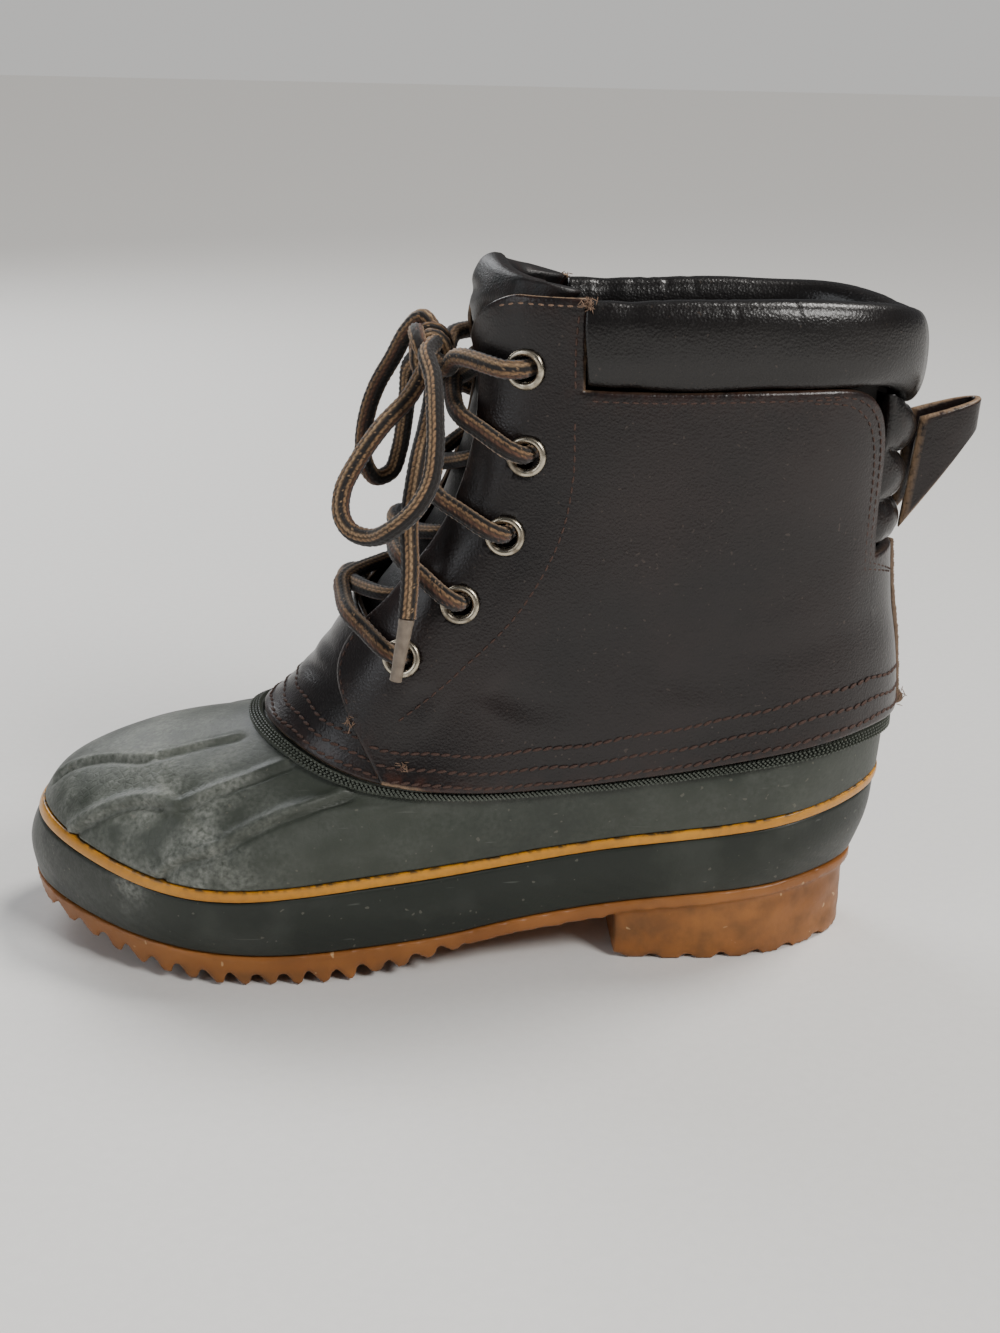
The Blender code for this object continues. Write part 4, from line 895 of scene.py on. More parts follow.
def makeBand():
    columns = bottom["columns"]
    turns = ringTurns()
    gap, tall = walls["bandGap"], walls["bandHeight"]
    bandAt = [levelAlong(turns, rimLevel, -gap - tall * (1 - s)) for s in np.linspace(0, 1, 9)]
    outs = (0.55, 0.95, 0.80, 0.80, 0.80, 0.80, 0.80, 0.95, 0.55)
    rings = [(level, walls["bandWall"] * out * lapAt(turns)) for level, out in zip(bandAt, outs)]
    rings += [(bandAt[-1], walls["clear"]), (bandAt[0], walls["clear"])]
    # the band is drawn in the lighter rubber, which is painted light against the leather's shade
    dress(roundBand("rimBand", columns, rings, litRimRubber), "foxing_rubber", "rim_band")
    fine = np.linspace(-1, 1, 4000)
    run = runAlong(bootSurface(fine, 4.6))
    spots = np.interp(np.arange(0, run[-1], knurl["pitch"]), run, fine)
    points, along, up = [], [], []
    for row in range(knurl["rows"]):
        shift = (spots[1] - spots[0]) / 2 * (row % 2)
        at = spots + shift
        level = levelAlong(at, rimLevel, -gap - tall * (knurl["first"] + knurl["step"] * row))
        points.append(offSurface(at, level, walls["bandWall"] * 0.92 * lapAt(at)))
        along.append(bootSurface(at + 0.003, level) - bootSurface(at - 0.003, level))
        up.append(surfaceNormal(at, level))
    # the studs are in the same lighter rubber, painted light
    studs = repeat("bandKnurl", studTree, np.concatenate(points), np.concatenate(along), np.concatenate(up),
                   (knurl["length"], knurl["width"], knurl["height"]), litRimRubber)
    dress(studs, "foxing_rubber")


makeShell()
makeFoxing()
makeStripe()
makeBand()


print("gum sole")
sole = dict(plate=4.0 * mm, shank=5.0 * mm, pitch=8.0 * mm, root=0.52, teethFrom=0.33, shankFrom=0.145,
            heelLength=77 * mm, inset=2.0 * mm, lug=1.0 * mm, lugPitch=11 * mm, voxel=0.95 * mm)
toothShape = ((0.00, 0.0), (0.04, 0.35), (0.10, 0.80), (0.17, 0.97), (0.26, 1.0), (0.38, 1.0), (0.48, 0.90),
              (0.60, 0.66), (0.74, 0.38), (0.88, 0.12), (0.96, 0.0))


def plate(name, outline, thick, upright=False):
    curve = bpy.data.curves.new(name, "CURVE")
    curve.dimensions = "2D"
    curve.fill_mode = "BOTH"
    curve.extrude = thick / 2
    line = curve.splines.new("POLY")
    line.points.add(len(outline) - 1)
    for point, (u, v) in zip(line.points, outline):
        point.co = (u, v, 0, 1)
    line.use_cyclic_u = True
    made = stageObject(name, curve)
    bpy.context.view_layer.update()
    mesh = bpy.data.meshes.new_from_object(made.evaluated_get(bpy.context.evaluated_depsgraph_get()))
    bpy.data.objects.remove(made)
    if upright:
        mesh.transform(Matrix.Rotation(math.pi / 2, 4, "X"))
    faceOutward(mesh, 0.004 * mm)
    return stageObject(name, mesh)


def cutWith(obj, other, operation):
    modifier = obj.modifiers.new(operation, "BOOLEAN")
    modifier.operation = operation
    modifier.solver = "EXACT"
    modifier.object = other


def applied(obj):
    bpy.context.view_layer.update()
    mesh = bpy.data.meshes.new_from_object(obj.evaluated_get(bpy.context.evaluated_depsgraph_get()))
    obj.modifiers.clear()
    obj.data = mesh
    return obj


def planOutline(inset, count):
    turns = np.linspace(-1, 1, count, endpoint=False)
    flat = loopPoints(0, turns)[:, :2]
    way = np.roll(flat, -1, axis=0) - np.roll(flat, 1, axis=0)
    out = np.stack([way[:, 1], -way[:, 0]], -1)
    return flat - out / np.linalg.norm(out, axis=1)[:, None] * inset


def makeSole():
    length = form["length"]
    back, front = form["ends"][0][1] * length - 5 * mm, form["ends"][0][0] * length + 5 * mm
    top = [(x, float(soleTop(x))) for x in np.linspace(front, back, 90)]
    heelStretch = np.linspace(back, sole["shankFrom"] * length, 20)
    under = [(x, float(soleTop(x)) - sole["plate"]) for x in heelStretch]
    under += [(x, float(soleTop(x)) - sole["shank"]) for x in
              np.linspace(sole["shankFrom"] + 0.02, sole["teethFrom"] - 0.004, 14) * length]
    start = sole["teethFrom"] * length
    for tooth in range(int((front - start) / sole["pitch"])):
        for share, depth in toothShape:
            x = start + (tooth + share) * sole["pitch"]
            total = float(soleTop(x) - groundLine(x))
            under.append((x, float(soleTop(x)) - total * (sole["root"] + (1 - sole["root"]) * depth)))
    if under[-1][0] < front:
        under.append((front, float(groundLine(front))))
    body = plate("gumSole", planOutline(0, 240), 80 * mm)
    side = plate("soleSide", under + top, 0.3, upright=True)
    cutWith(body, side, "INTERSECT")
    heelFront = 0.52 * sole["heelLength"]
    heelBack = heelFront - sole["heelLength"]
    block = []
    for lug in range(-3, 4):
        for share, drop in ((-0.36, 0), (-0.28, 1), (0.28, 1), (0.36, 0)):
            block.append(((lug + share) * sole["lugPitch"], sole["lug"] * (1 - drop)))
    behind = heelBack - 11 * mm
    block += [(heelFront, sole["lug"]), (heelFront, float(soleTop(heelFront)) - sole["plate"] / 2),
              (behind, float(soleTop(heelBack)) - sole["plate"] / 2), (behind, sole["lug"])]
    heel = plate("heelPlan", planOutline(sole["inset"], 240), 80 * mm)
    heelSide = plate("heelSide", block, 0.3, upright=True)
    cutWith(heel, heelSide, "INTERSECT")
    cutWith(body, heel, "UNION")
    applied(body)
    for tool in (side, heel, heelSide):
        bpy.data.objects.remove(tool)
    remesh = body.modifiers.new("Remesh", "REMESH")
    remesh.mode = "VOXEL"
    remesh.voxel_size = sole["voxel"]
    remesh.use_smooth_shade = True
    soft = body.modifiers.new("Soft", "SMOOTH")
    soft.factor = 0.5
    soft.iterations = 2
    applied(body)
    mesh = body.data
    points = np.empty(3 * len(mesh.vertices))
    mesh.vertices.foreach_get("co", points)
    points = points.reshape(-1, 3)
    normals = np.empty(3 * len(mesh.vertices))
    mesh.vertex_normals.foreach_get("vector", normals)
    normals = normals.reshape(-1, 3)
    worn = 0.14 * mm * waves(points, 9 * mm, 21) + 0.16 * mm * waves(points, 28 * mm, 22)
    below = soleTop(points[:, 0]) - points[:, 2]
    free = ease((below - 0.4 * mm) / (1.5 * mm)) * ease(points[:, 2] / (2 * mm))
    points = points + normals * (worn * free - 0.16 * mm * free)[:, None]
    points[:, 2] = np.clip(points[:, 2], 0, None)
    mesh.vertices.foreach_set("co", points.ravel())
    under = ease((soleTop(points[:, 0]) - points[:, 2] - 3.0 * mm) / (4 * mm))
    dirt = np.clip(0.15 + 0.6 * under + 0.2 * waves(points, 18 * mm, 5), 0, 1)
    mesh.attributes.new("dirt", "FLOAT", "POINT").data.foreach_set("value", dirt.astype(np.float32))
    mesh.materials.clear()
    mesh.materials.append(gumRubber)
    mesh.shade_smooth()
    dress(body, "gum_rubber", "outsole")


makeSole()


print("leather upper")
upper = dict(rows=76, side=132, backWay=80, hole=4.55 * mm, corner=0.34,
             fine=(0.0, 0.25, 0.6, 1.3))
eyeletPlaces = ((0.269, 0.905), (0.268, 0.786), (0.290, 0.673), (0.338, 0.573), (0.399, 0.490))
eyelet = dict(outer=5.8 * mm, bore=3.7 * mm, wall=0.7 * mm, sides=56, rise=0.95 * mm)
seat = walls["clear"] + walls["leather"] + walls["quarter"]


def findEyelets():
    x, z = np.array(eyeletPlaces * 2).T
    side = np.repeat([1, -1], len(eyeletPlaces))
    turn, level = placesAt(x * form["length"], z * form["height"], side)
    return turn, level


eyeletTurn, eyeletLevel = findEyelets()
eyeletCentre = offSurface(eyeletTurn, eyeletLevel, np.full(10, seat))
eyeletNormal = surfaceNormal(eyeletTurn, eyeletLevel)


def quarterTop(turn):
    away = np.abs((np.atleast_1d(turn) + 1) % 2 - 1)
    share = np.clip((away - form["notchFrom"]) / (form["notchTo"] - form["notchFrom"]), 0, 1)
    return form["notchLevel"] + (9 - form["notchLevel"]) * (1 - share ** 3) ** (1 / 3)


# grid of (turn, level) cells to a closed leather sheet; cells are dropped where an eyelet passes
def leatherSheet(name, turns, levels, outerOffset, innerOffset, cells, material, marks, holes=True):
    count = len(turns)
    outer = offSurface(turns, levels, outerOffset)
    inner = offSurface(turns, levels, innerOffset)
    cells = np.array(cells)
    if holes:
        middle = bootSurface(turns, levels)[cells].mean(1)
        keep = np.ones(len(cells), bool)
        for centre, normal in zip(eyeletCentre, eyeletNormal):
            gap = middle - centre
            flat = gap - (gap @ normal)[:, None] * normal
            keep &= (np.linalg.norm(gap, axis=1) > 20 * mm) | (np.linalg.norm(flat, axis=1) > upper["hole"])
        cells = cells[keep]
    edges = {}
    for quad in cells.tolist():
        for a, b in zip(quad, quad[1:] + quad[:1]):
            edges[(a, b)] = 1
    rim = [(a, b) for a, b in edges if (b, a) not in edges]
    if holes:
        ends = np.unique(np.array(rim))
        for centre, normal in zip(eyeletCentre, eyeletNormal):
            for sheet in (outer, inner):
                gap = sheet[ends] - centre
                high = gap @ normal
                flat = gap - high[:, None] * normal
                size = np.linalg.norm(flat, axis=1)
                near = (size < upper["hole"] + 2.2 * mm) & (np.abs(high) < 9 * mm)
                away = flat[near] / size[near][:, None] * upper["hole"]
                sheet[ends[near]] = centre + high[near][:, None] * normal + away
    faces = cells.tolist() + [[count + v for v in reversed(quad)] for quad in cells.tolist()]
    faces += [[b, a, count + a, count + b] for a, b in rim]
    used = np.zeros(2 * count, bool)
    used[np.concatenate([np.ravel(cells), np.ravel(cells) + count])] = True
    renumber = np.cumsum(used) - 1
    points = np.concatenate([outer, inner])[used]
    faces = [renumber[face].tolist() for face in faces]
    values = {key: np.concatenate([v, v])[used] for key, v in marks.items()}
    return makeObject(name, points, faces, material, values)


def fineShares(count, width, both=True):
    # even steps, with a few narrow ones at the cut edges for a rounded lip
    lips = np.array(upper["fine"]) * mm / width
    middle = np.linspace(lips[-1], 1 - lips[-1] if both else 1, count)
    ends = [lips[:-1], middle]
    if both:
        ends.append(1 - lips[:-1][::-1])
    return np.concatenate(ends)


def lipDrop(distance, depth=0.75 * mm, radius=1.2 * mm):
    return depth * (1 - np.sqrt(1 - (1 - np.clip(distance / radius, 0, 1)) ** 2))


def makeQuarters():
    rows = fineShares(upper["rows"], 75 * mm)
    half = fineShares(upper["side"] + upper["backWay"], 150 * mm, both=False)
    turnsAll, levelsAll = [], []
    for side in (1, -1):
        climb = np.repeat(rows, len(half))
        across = np.tile(half, len(rows))
        level = 5 + 4 * climb
        for _ in range(8):
            start = edgeAt(level, side)
            turn = start + (side - start) * across
            level = 5 + (quarterTop(turn) - 5) * climb
        turnsAll.append(turn.reshape(len(rows), -1))
        levelsAll.append(level.reshape(len(rows), -1))
    # lateral edge, round the back, medial edge
    turns = np.concatenate([turnsAll[0], (turnsAll[1] + 2)[:, ::-1][:, 1:]], axis=1)
    levels = np.concatenate([levelsAll[0], levelsAll[1][:, ::-1][:, 1:]], axis=1)
    count, width = turns.shape
    places = [(turns.ravel(), levels.ravel())]
    cells = []
    for j in range(count - 1):
        for k in range(width - 1):
            a = j * width + k
            cells.append((a, a + 1, a + width + 1, a + width))
    # eyestay blocks above the collar's seam
    total = count * width
    blockRows = fineShares(22, 25 * mm)[1:]
    for side in (1, -1):
        topTurns = turns[-1]
        front = float(collarFrontAt(9.0, side)) % 2
        order = np.arange(width) if side == 1 else np.arange(width)[::-1]
        stop = next(i for i, k in enumerate(order) if (topTurns[k] - front) * side > 0)
        base = (count - 1) * width + order[:stop]
        share = np.abs(topTurns[order[:stop]] - topTurns[order[0]])
        share = share / share[-1]
        corner = (1 - share / upper["corner"]).clip(0)
        high = 1 - upper["corner"] * (1 - np.sqrt(np.clip(1 - corner ** 2, 0, 1)))
        previous = base
        for climb in blockRows:
            level = 9 + high * climb
            first = edgeAt(level, side)
            last = collarFrontAt(level, side)
            turn = first + (last - first) * share
            new = total + np.arange(stop)
            places.append((turn, level))
            for k in range(stop - 1):
                quad = (previous[k], previous[k + 1], new[k + 1], new[k])
                cells.append(quad if side == 1 else quad[::-1])
            previous = new
            total += stop
    turn = np.concatenate([p[0] for p in places])
    level = np.concatenate([p[1] for p in places])
    base = bootSurface(turn, level)
    edges = {}
    for quad in cells:
        for a, b in zip(quad, quad[1:] + quad[:1]):
            edges[(a, b)] = 1
    rim = np.unique([v for pair in edges if pair[::-1] not in edges for v in pair])
    away = distanceTo(base, base[rim])
    raw = np.zeros(len(base))
    fore = np.abs((turn[rim] + 1) % 2 - 1) < 0.34
    raw[rim] = np.where(level[rim] > 9.3, 0.95, np.where(fore, 0.5, 0.12))
    flatTurn = (turn + 1) % 2 - 1
    worn = ease((flatTurn - 0.268) / 0.012) * ease((0.336 - flatTurn) / 0.012) * ease((5.07 - level) / 0.05)
    raw = np.maximum(raw, 0.8 * worn)
    wear = np.exp(-away / (2.5 * mm))
    drop = lipDrop(away)
    flat = np.abs((turn + 1) % 2 - 1)
    over = ease((0.34 - flat) / 0.05)
    crease = quarterCreases(base)
    outer = seat - drop + crease
    inner = walls["clear"] + (walls["leather"] + 0.1 * mm) * over
    # scuffs near the front of the bottom edge
    scuff = ease((0.40 - flat) / 0.12) * ease((5.28 - level) / 0.2) * ease((flat - 0.24) / 0.04)
    marks = dict(raw=raw, rub=np.clip(0.45 * wear + 0.9 * scuff, 0, 1))
    sheet = leatherSheet("quarters", turn, level, outer, inner, cells, brownLeather, marks)
    dress(sheet, "brown_leather", "upper")


def distanceTo(points, line):
    tree = kdtree.KDTree(len(line))
    for k, point in enumerate(line):
        tree.insert(point, k)
    tree.balance()
    return np.array([tree.find(point)[2] for point in points])


# soft bends that wear leaves: the same six values
quarterFolds = (
    (((0.33, 6.55), (0.36, 6.35), (0.40, 6.25), (0.45, 6.3)), -0.5 * mm, 4.5 * mm, 0.35, (0.4, 0.4), 1.6),
    (((0.52, 6.7), (0.60, 6.45), (0.68, 6.4)), -0.35 * mm, 6 * mm, 0.4, (0.4, 0.4), 1.6),
    (((0.60, 7.3), (0.68, 7.15), (0.76, 7.2)), 0.3 * mm, 6 * mm, 0.5, (0.4, 0.4), 1.6),
    (((0.24, 5.75), (0.25, 6.05), (0.24, 6.3)), -0.4 * mm, 3.5 * mm, 0.4, (0.4, 0.4), 1.6),
    (((-0.36, 6.4), (-0.44, 6.2), (-0.52, 6.3)), -0.45 * mm, 5 * mm, 0.4, (0.4, 0.4), 1.6),
    (((-0.58, 6.9), (-0.66, 6.7), (-0.74, 6.8)), -0.35 * mm, 6 * mm, 0.4, (0.4, 0.4), 1.6),
)


def quarterCreases(base):
    lift = 0.22 * mm * waves(base, 45 * mm, 12)
    for route, height, width, groove, fade, reach in quarterFolds:
        lift += reliefAlong(base, route, height, width, groove, fade, reach)[0]
    return lift


def makeVamp():
    rows = fineShares(54, 45 * mm)
    across = np.linspace(-1, 1, 170)
    turns, levels = [], []
    for s in rows:
        climbed = 5 + 1.62 * s
        reach = {}
        for side in (1, -1):
            edge = abs(float(edgeAt(climbed, side)))
            reach[side] = min(edge + 0.035, 0.36)
        turn = np.where(across >= 0, across * reach[1], across * reach[-1])
        rise = 0.25 * s ** 3 * np.cos(across * math.pi / 2)
        turns.append(turn)
        levels.append(climbed + rise)
    width = len(across)
    turn, level = np.concatenate(turns), np.concatenate(levels)
    cells = [(j * width + k, j * width + k + 1, (j + 1) * width + k + 1, (j + 1) * width + k)
             for j in range(len(rows) - 1) for k in range(width - 1)]
    base = bootSurface(turn, level)
    away = np.repeat(rows, width) * 45 * mm
    away = np.minimum(away, np.repeat(1 - rows, width) * 45 * mm)
    lift = 0.2 * mm * waves(base, 30 * mm, 14)
    for route in (((-0.10, 5.95), (0.0, 5.88), (0.10, 5.95)), ((-0.14, 5.72), (0.0, 5.62), (0.14, 5.72))):
        lift += reliefAlong(base, route, -0.35 * mm, 3 * mm, 0.4, (0.35, 0.35), 1.6)[0]
    raw = (away < 0.1 * mm) * 0.6
    outer = walls["clear"] + walls["leather"] - lipDrop(away) + lift * ease(away / (4 * mm))
    inner = np.full(len(turn), walls["clear"])
    marks = dict(raw=raw, rub=np.clip(0.5 * np.exp(-away / (3 * mm)), 0, 1))
    dress(leatherSheet("vamp", turn, level, outer, inner, cells, brownLeather, marks, holes=False),
          "brown_leather", "upper")


makeQuarters()
makeVamp()


print("tongue and collar")
tongue = dict(base=5.9, top=10.62, baseDepth=1.2 * mm, depth=3.2 * mm, wall=5.0 * mm, rows=110, columns=60)


def makeTongue():
    rows, columns = tongue["rows"], tongue["columns"]
    s = np.repeat(np.linspace(0, 1, rows), columns)
    c = np.tile(np.linspace(-1, 1, columns), rows)
    half = 0.20 + 0.13 * s ** 1.5
    level = tongue["base"] + (tongue["top"] - tongue["base"]) * s - 0.30 * s ** 6 * np.abs(c) ** 1.5
    turn = half * c * (1 - 0.30 * ease((s - 0.90) / 0.10) ** 2)
    rise = np.clip((level - tongue["base"]) / 0.8, 0, 1)
    rest = -tongue["baseDepth"] - (tongue["depth"] - tongue["baseDepth"]) * rise
    base = bootSurface(turn, level)
    # a stuffed roll at the top, a sewn groove under it, and soft creases where the laces press
    roll = ease((level - 9.35) / 0.12)
    groove = np.exp(-((level - 9.33) / 0.035) ** 2)
    sideways = (1 - np.abs(c)) * 34 * mm
    toTop = (1 - s) * 92 * mm
    stuffing = tongue["wall"] / 2 + roll * 1.9 * mm - 0.5 * mm * groove
    corner = np.minimum(sideways, toTop) / (1.3 * stuffing)
    round1 = np.sqrt(np.clip(1 - (1 - np.clip(corner, 0, 1)) ** 2, 0.02, 1))
    lift = -tongue["wall"] / 2 + stuffing * round1 - 0.5 * mm * groove
    lift += (0.35 * mm * waves(base, 16 * mm, 31) * (0.4 + roll)) * round1
    for places in (((-0.2, 10.0), (-0.05, 9.85), (0.12, 10.02)), ((0.05, 9.62), (0.18, 9.75), (0.27, 9.70))):
        lift += reliefAlong(base, places, -0.9 * mm, 2.6 * mm, 0.35, (0.35, 0.35), 1.6)[0] * round1
    back = -tongue["wall"] / 2 - stuffing * round1
    grid = (rows, columns)
    piece = slab("tonguePad", turn.reshape(grid), level.reshape(grid), (rest + lift).reshape(grid),
                 (rest + back).reshape(grid), tongueLeather, {"rub": (0.15 * roll).reshape(grid)})
    dress(piece, "collar_leather", "tongue")


collar = dict(pad=11.5 * mm, centre=0.5 * mm, stations=420, sides=56, lap=0.6 * mm, wrinkles=44,
              runLength=300, power=0.78, middle=9.505, half=0.495)


def collarSpan():
    x = form["collarFront"] * form["length"] + collar["lap"]
    return float(turnAtX(x, 9.5, 1)[0]), float(turnAtX(x, 9.5, -1)[0]) + 2


lining = dict(rows=30, columns=300, low=7.2, rise=2.15, lap=0.02, face=-4.4 * mm, rear=-5.2 * mm)


def makeLining():
    # the cloth inside the top line, which the collar and the rolls are sewn to
    first, last = collarSpan()
    grid = (lining["rows"], lining["columns"])
    s = np.repeat(np.linspace(0, 1, grid[0]), grid[1])
    turn = np.tile(np.linspace(first - lining["lap"], last + lining["lap"], grid[1]), grid[0])
    level = lining["low"] + lining["rise"] * s
    point = bootSurface(turn, level)
    lift = (0.2 * mm * waves(point, 25 * mm, 91)).reshape(grid)
    piece = slab("topLining", turn.reshape(grid), level.reshape(grid), lining["face"] * np.ones(grid) + lift,
                 lining["rear"] * np.ones(grid) + lift, liningCloth)
    dress(piece, "felt")


def makeCollar():
    first, last = collarSpan()
    stations, sides = collar["stations"], collar["sides"]
    share = np.repeat(np.linspace(0, 1, stations), sides)
    angle = np.tile(np.arange(sides), stations) * 2 * math.pi / sides
    # distances along the roll in millimetres
    run = np.minimum(share, 1 - share) * collar["runLength"]
    cap = np.sqrt(np.clip(1 - (1 - np.clip(run / 0.8, 0, 1)) ** 2, 0.002, 1))
    swell = cap * np.interp(run, (0, 14, 30), (0.93, 0.98, 1.0))
    up = np.sign(np.sin(angle)) * np.abs(np.sin(angle)) ** collar["power"]
    out = np.sign(np.cos(angle)) * np.abs(np.cos(angle)) ** collar["power"]
    level = collar["middle"] + collar["half"] * up * swell
    distance = collar["centre"] + collar["pad"] / 2 * out * swell
    turn = first + (last - first) * share
    base = offSurface(turn, level, distance)
    # fine wrinkles run round the roll, closer together at its ends and on its top
    wrinkle = np.zeros(len(base))
    rng = np.random.default_rng(77)
    for _ in range(collar["wrinkles"]):
        at = rng.choice([rng.uniform(0, 1), rng.uniform(0, 0.16), rng.uniform(0.84, 1.0)])
        lean = rng.normal(0, 0.006)
        middle = rng.uniform(0.2, 2.6) if rng.random() < 0.8 else rng.uniform(3.4, 6.0)
        reach = rng.uniform(0.25, 0.8)
        away = (share - at - lean * (angle - middle)) * collar["runLength"]
        wide = rng.uniform(0.7, 1.7)
        span = np.exp(-(((angle - middle + math.pi) % (2 * math.pi) - math.pi) / reach) ** 2)
        wrinkle -= rng.uniform(0.06, 0.20) * mm * span * (np.exp(-(away / wide) ** 2)
                                                        - 0.45 * np.exp(-((away - 1.9 * wide) / wide) ** 2))
    for at, depth in ((0.495, 0.4), (0.44, 0.25), (0.56, 0.25), (0.05, 0.4), (0.95, 0.4)):
        wrinkle -= depth * mm * np.exp(-((share - at) * collar["runLength"] / 4.0) ** 2)
    wrinkle += 0.25 * mm * waves(base, 30 * mm, 41)
    centre = offSurface(turn, np.full(len(turn), 9.52), np.full(len(turn), collar["centre"]))
    way = base - centre
    way /= np.maximum(np.linalg.norm(way, axis=1), 1e-6)[:, None]
    points = base + way * (wrinkle * cap)[:, None]
    faces = []
    for i in range(stations - 1):
        for k in range(sides):
            a, b = i * sides + k, i * sides + (k + 1) % sides
            faces.append((a, a + sides, b + sides, b))
    faces.append(tuple(range(sides)))
    faces.append(tuple((stations - 1) * sides + k for k in reversed(range(sides))))
    piece = makeObject("collarRoll", points, faces, padLeather, {"rub": np.zeros(len(points))})
    dress(piece, "collar_leather", "collar")


back = dict(rest=1.2 * mm, depth=4.6 * mm, inner=4.0 * mm, rolls=3, rows=110, columns=72)


def makeBackRolls():
    rows, columns = back["rows"], back["columns"]
    low, high = form["notchLevel"] + 0.06, 9 - 0.03
    half = 1 - form["notchTo"] - 0.007
    s = np.repeat(np.linspace(0, 1, rows), columns)
    c = np.tile(np.linspace(-1, 1, columns), rows)
    level, turn = low + (high - low) * s, 1 + half * c
    wave = np.abs(np.sin(math.pi * back["rolls"] * s))
    base = bootSurface(turn, level)
    out = back["rest"] + back["depth"] * wave ** 0.62 * (1 - c ** 4) + 0.25 * mm * waves(base, 12 * mm, 51)
    # pinched puckers beside the sewn channels
    pucker = 0.30 * mm * np.sin(c * 24 + 4 * np.sin(s * 9)) * (1 - wave) * (1 - c ** 4)
    grid = (rows, columns)
    piece = slab("backRolls", turn.reshape(grid), level.reshape(grid), (out + pucker).reshape(grid),
                 np.full(grid, -back["inner"]), padLeather, {"rub": (0.1 * wave).reshape(grid)})
    dress(piece, "collar_leather", "back_panel")


seamRoll = dict(half=0.022, depth=2.0 * mm, rows=240, columns=22)


def makeBackSeam():
    rows, columns = seamRoll["rows"], seamRoll["columns"]
    s = np.repeat(np.linspace(0, 1, rows), columns)
    c = np.tile(np.linspace(-1, 1, columns), rows)
    level = 4.95 + (7.55 - 4.95) * s
    bundle = 1 - ease((s - 0.055) / 0.035)
    turn = 1 + seamRoll["half"] * c * (0.80 + 0.20 * bundle)
    rest = seat + walls["clear"]
    base = bootSurface(turn, level)
    rope = 0.16 * mm * np.sin(s * 150 * math.pi + c * 2.2)
    fuzz = 0.14 * mm * waves(base, 2.6 * mm, 61) + 0.12 * mm * waves(base, 1.3 * mm, 62)
    swell = seamRoll["depth"] * (0.72 + 0.38 * bundle)
    out = rest + swell * np.sqrt(np.clip(1 - c ** 2, 0.02, 1)) + fuzz + rope
    cord = np.abs(np.sin(s * 90)) * bundle * 0.5 * mm
    out += cord * (1 - c ** 2)
    grid = (rows, columns)
    piece = slab("backSeam", turn.reshape(grid), level.reshape(grid), out.reshape(grid),
                 np.full(grid, rest - 0.1 * mm), rawEdge, {"rub": np.zeros(grid)})
    dress(piece, "raw_leather", "backstay")


strap = dict(half=6.0 * mm, wall=2.0 * mm, rootTop=(-0.1795, 0.820), rootLow=(-0.1665, 0.655),
             tipTop=(-0.250, 0.845), tipLow=(-0.248, 0.800), steps=120, across=24)


def makePullLoop():
    def place(key):
        return np.array(strap[key]) * (form["length"], form["height"])
    steps, across = strap["steps"], strap["across"]
    line = []
    for share in np.linspace(0, 1, steps):
        swing, side = math.sin(math.pi * share), math.cos(math.pi * share)
        out = swing ** 0.55
        top = place("rootTop") + (place("tipTop") - place("rootTop")) * out
        low = place("rootLow") + (place("tipLow") - place("rootLow")) * out
        line.append([(low + (top - low) * v)[[0, 1]].tolist() + [side * strap["half"]]
                     for v in np.linspace(0, 1, across)])
    grid = np.array(line)[:, :, [0, 2, 1]]
    alongWay, upWay = np.gradient(grid, axis=0), np.gradient(grid, axis=1)
    normal = np.cross(alongWay, upWay)
    normal /= np.linalg.norm(normal, axis=2)[..., None]
    v = np.tile(np.linspace(0, 1, across), (steps, 1))
    flat = grid.reshape(-1, 3)
    edge = np.minimum(v, 1 - v) * 34 * mm
    thick = strap["wall"] / 2 - 0.35 * mm * np.clip(1 - edge / (1.2 * mm), 0, 1) ** 2
    ripple = (0.10 * mm * waves(flat, 9 * mm, 71)).reshape(steps, across)
    outer = grid + normal * (thick + ripple)[..., None]
    inner = grid - normal * (thick - ripple)[..., None]
    count = steps * across
    faces = []
    for i in range(steps - 1):
        for k in range(across - 1):
            a = i * across + k
            faces.append((a, a + across, a + across + 1, a + 1))
            faces.append((count + a, count + a + 1, count + a + across + 1, count + a + across))
    for a, b in gridRim(steps, across):
        faces.append((a, b, count + b, count + a))
    raw = np.zeros((steps, across))
    raw[:, 0] = raw[:, -1] = raw[0] = raw[-1] = 1.0
    rub = 0.5 * np.exp(-edge / (1.5 * mm))
    points = np.concatenate([outer.reshape(-1, 3), inner.reshape(-1, 3)])
    mark = dict(raw=np.tile(raw.ravel(), 2), rub=np.tile(rub.ravel(), 2))
    piece = makeObject("pullStrap", points, faces, brownLeather, mark)
    faceOutward(piece.data)
    dress(piece, "raw_leather", "pull_loop")


insole = dict(steps=90, across=30, top=4.1 * mm, low=0.35 * mm,
              cup=1.2 * mm, cupWidth=8 * mm, wornEdge=0.5 * mm)


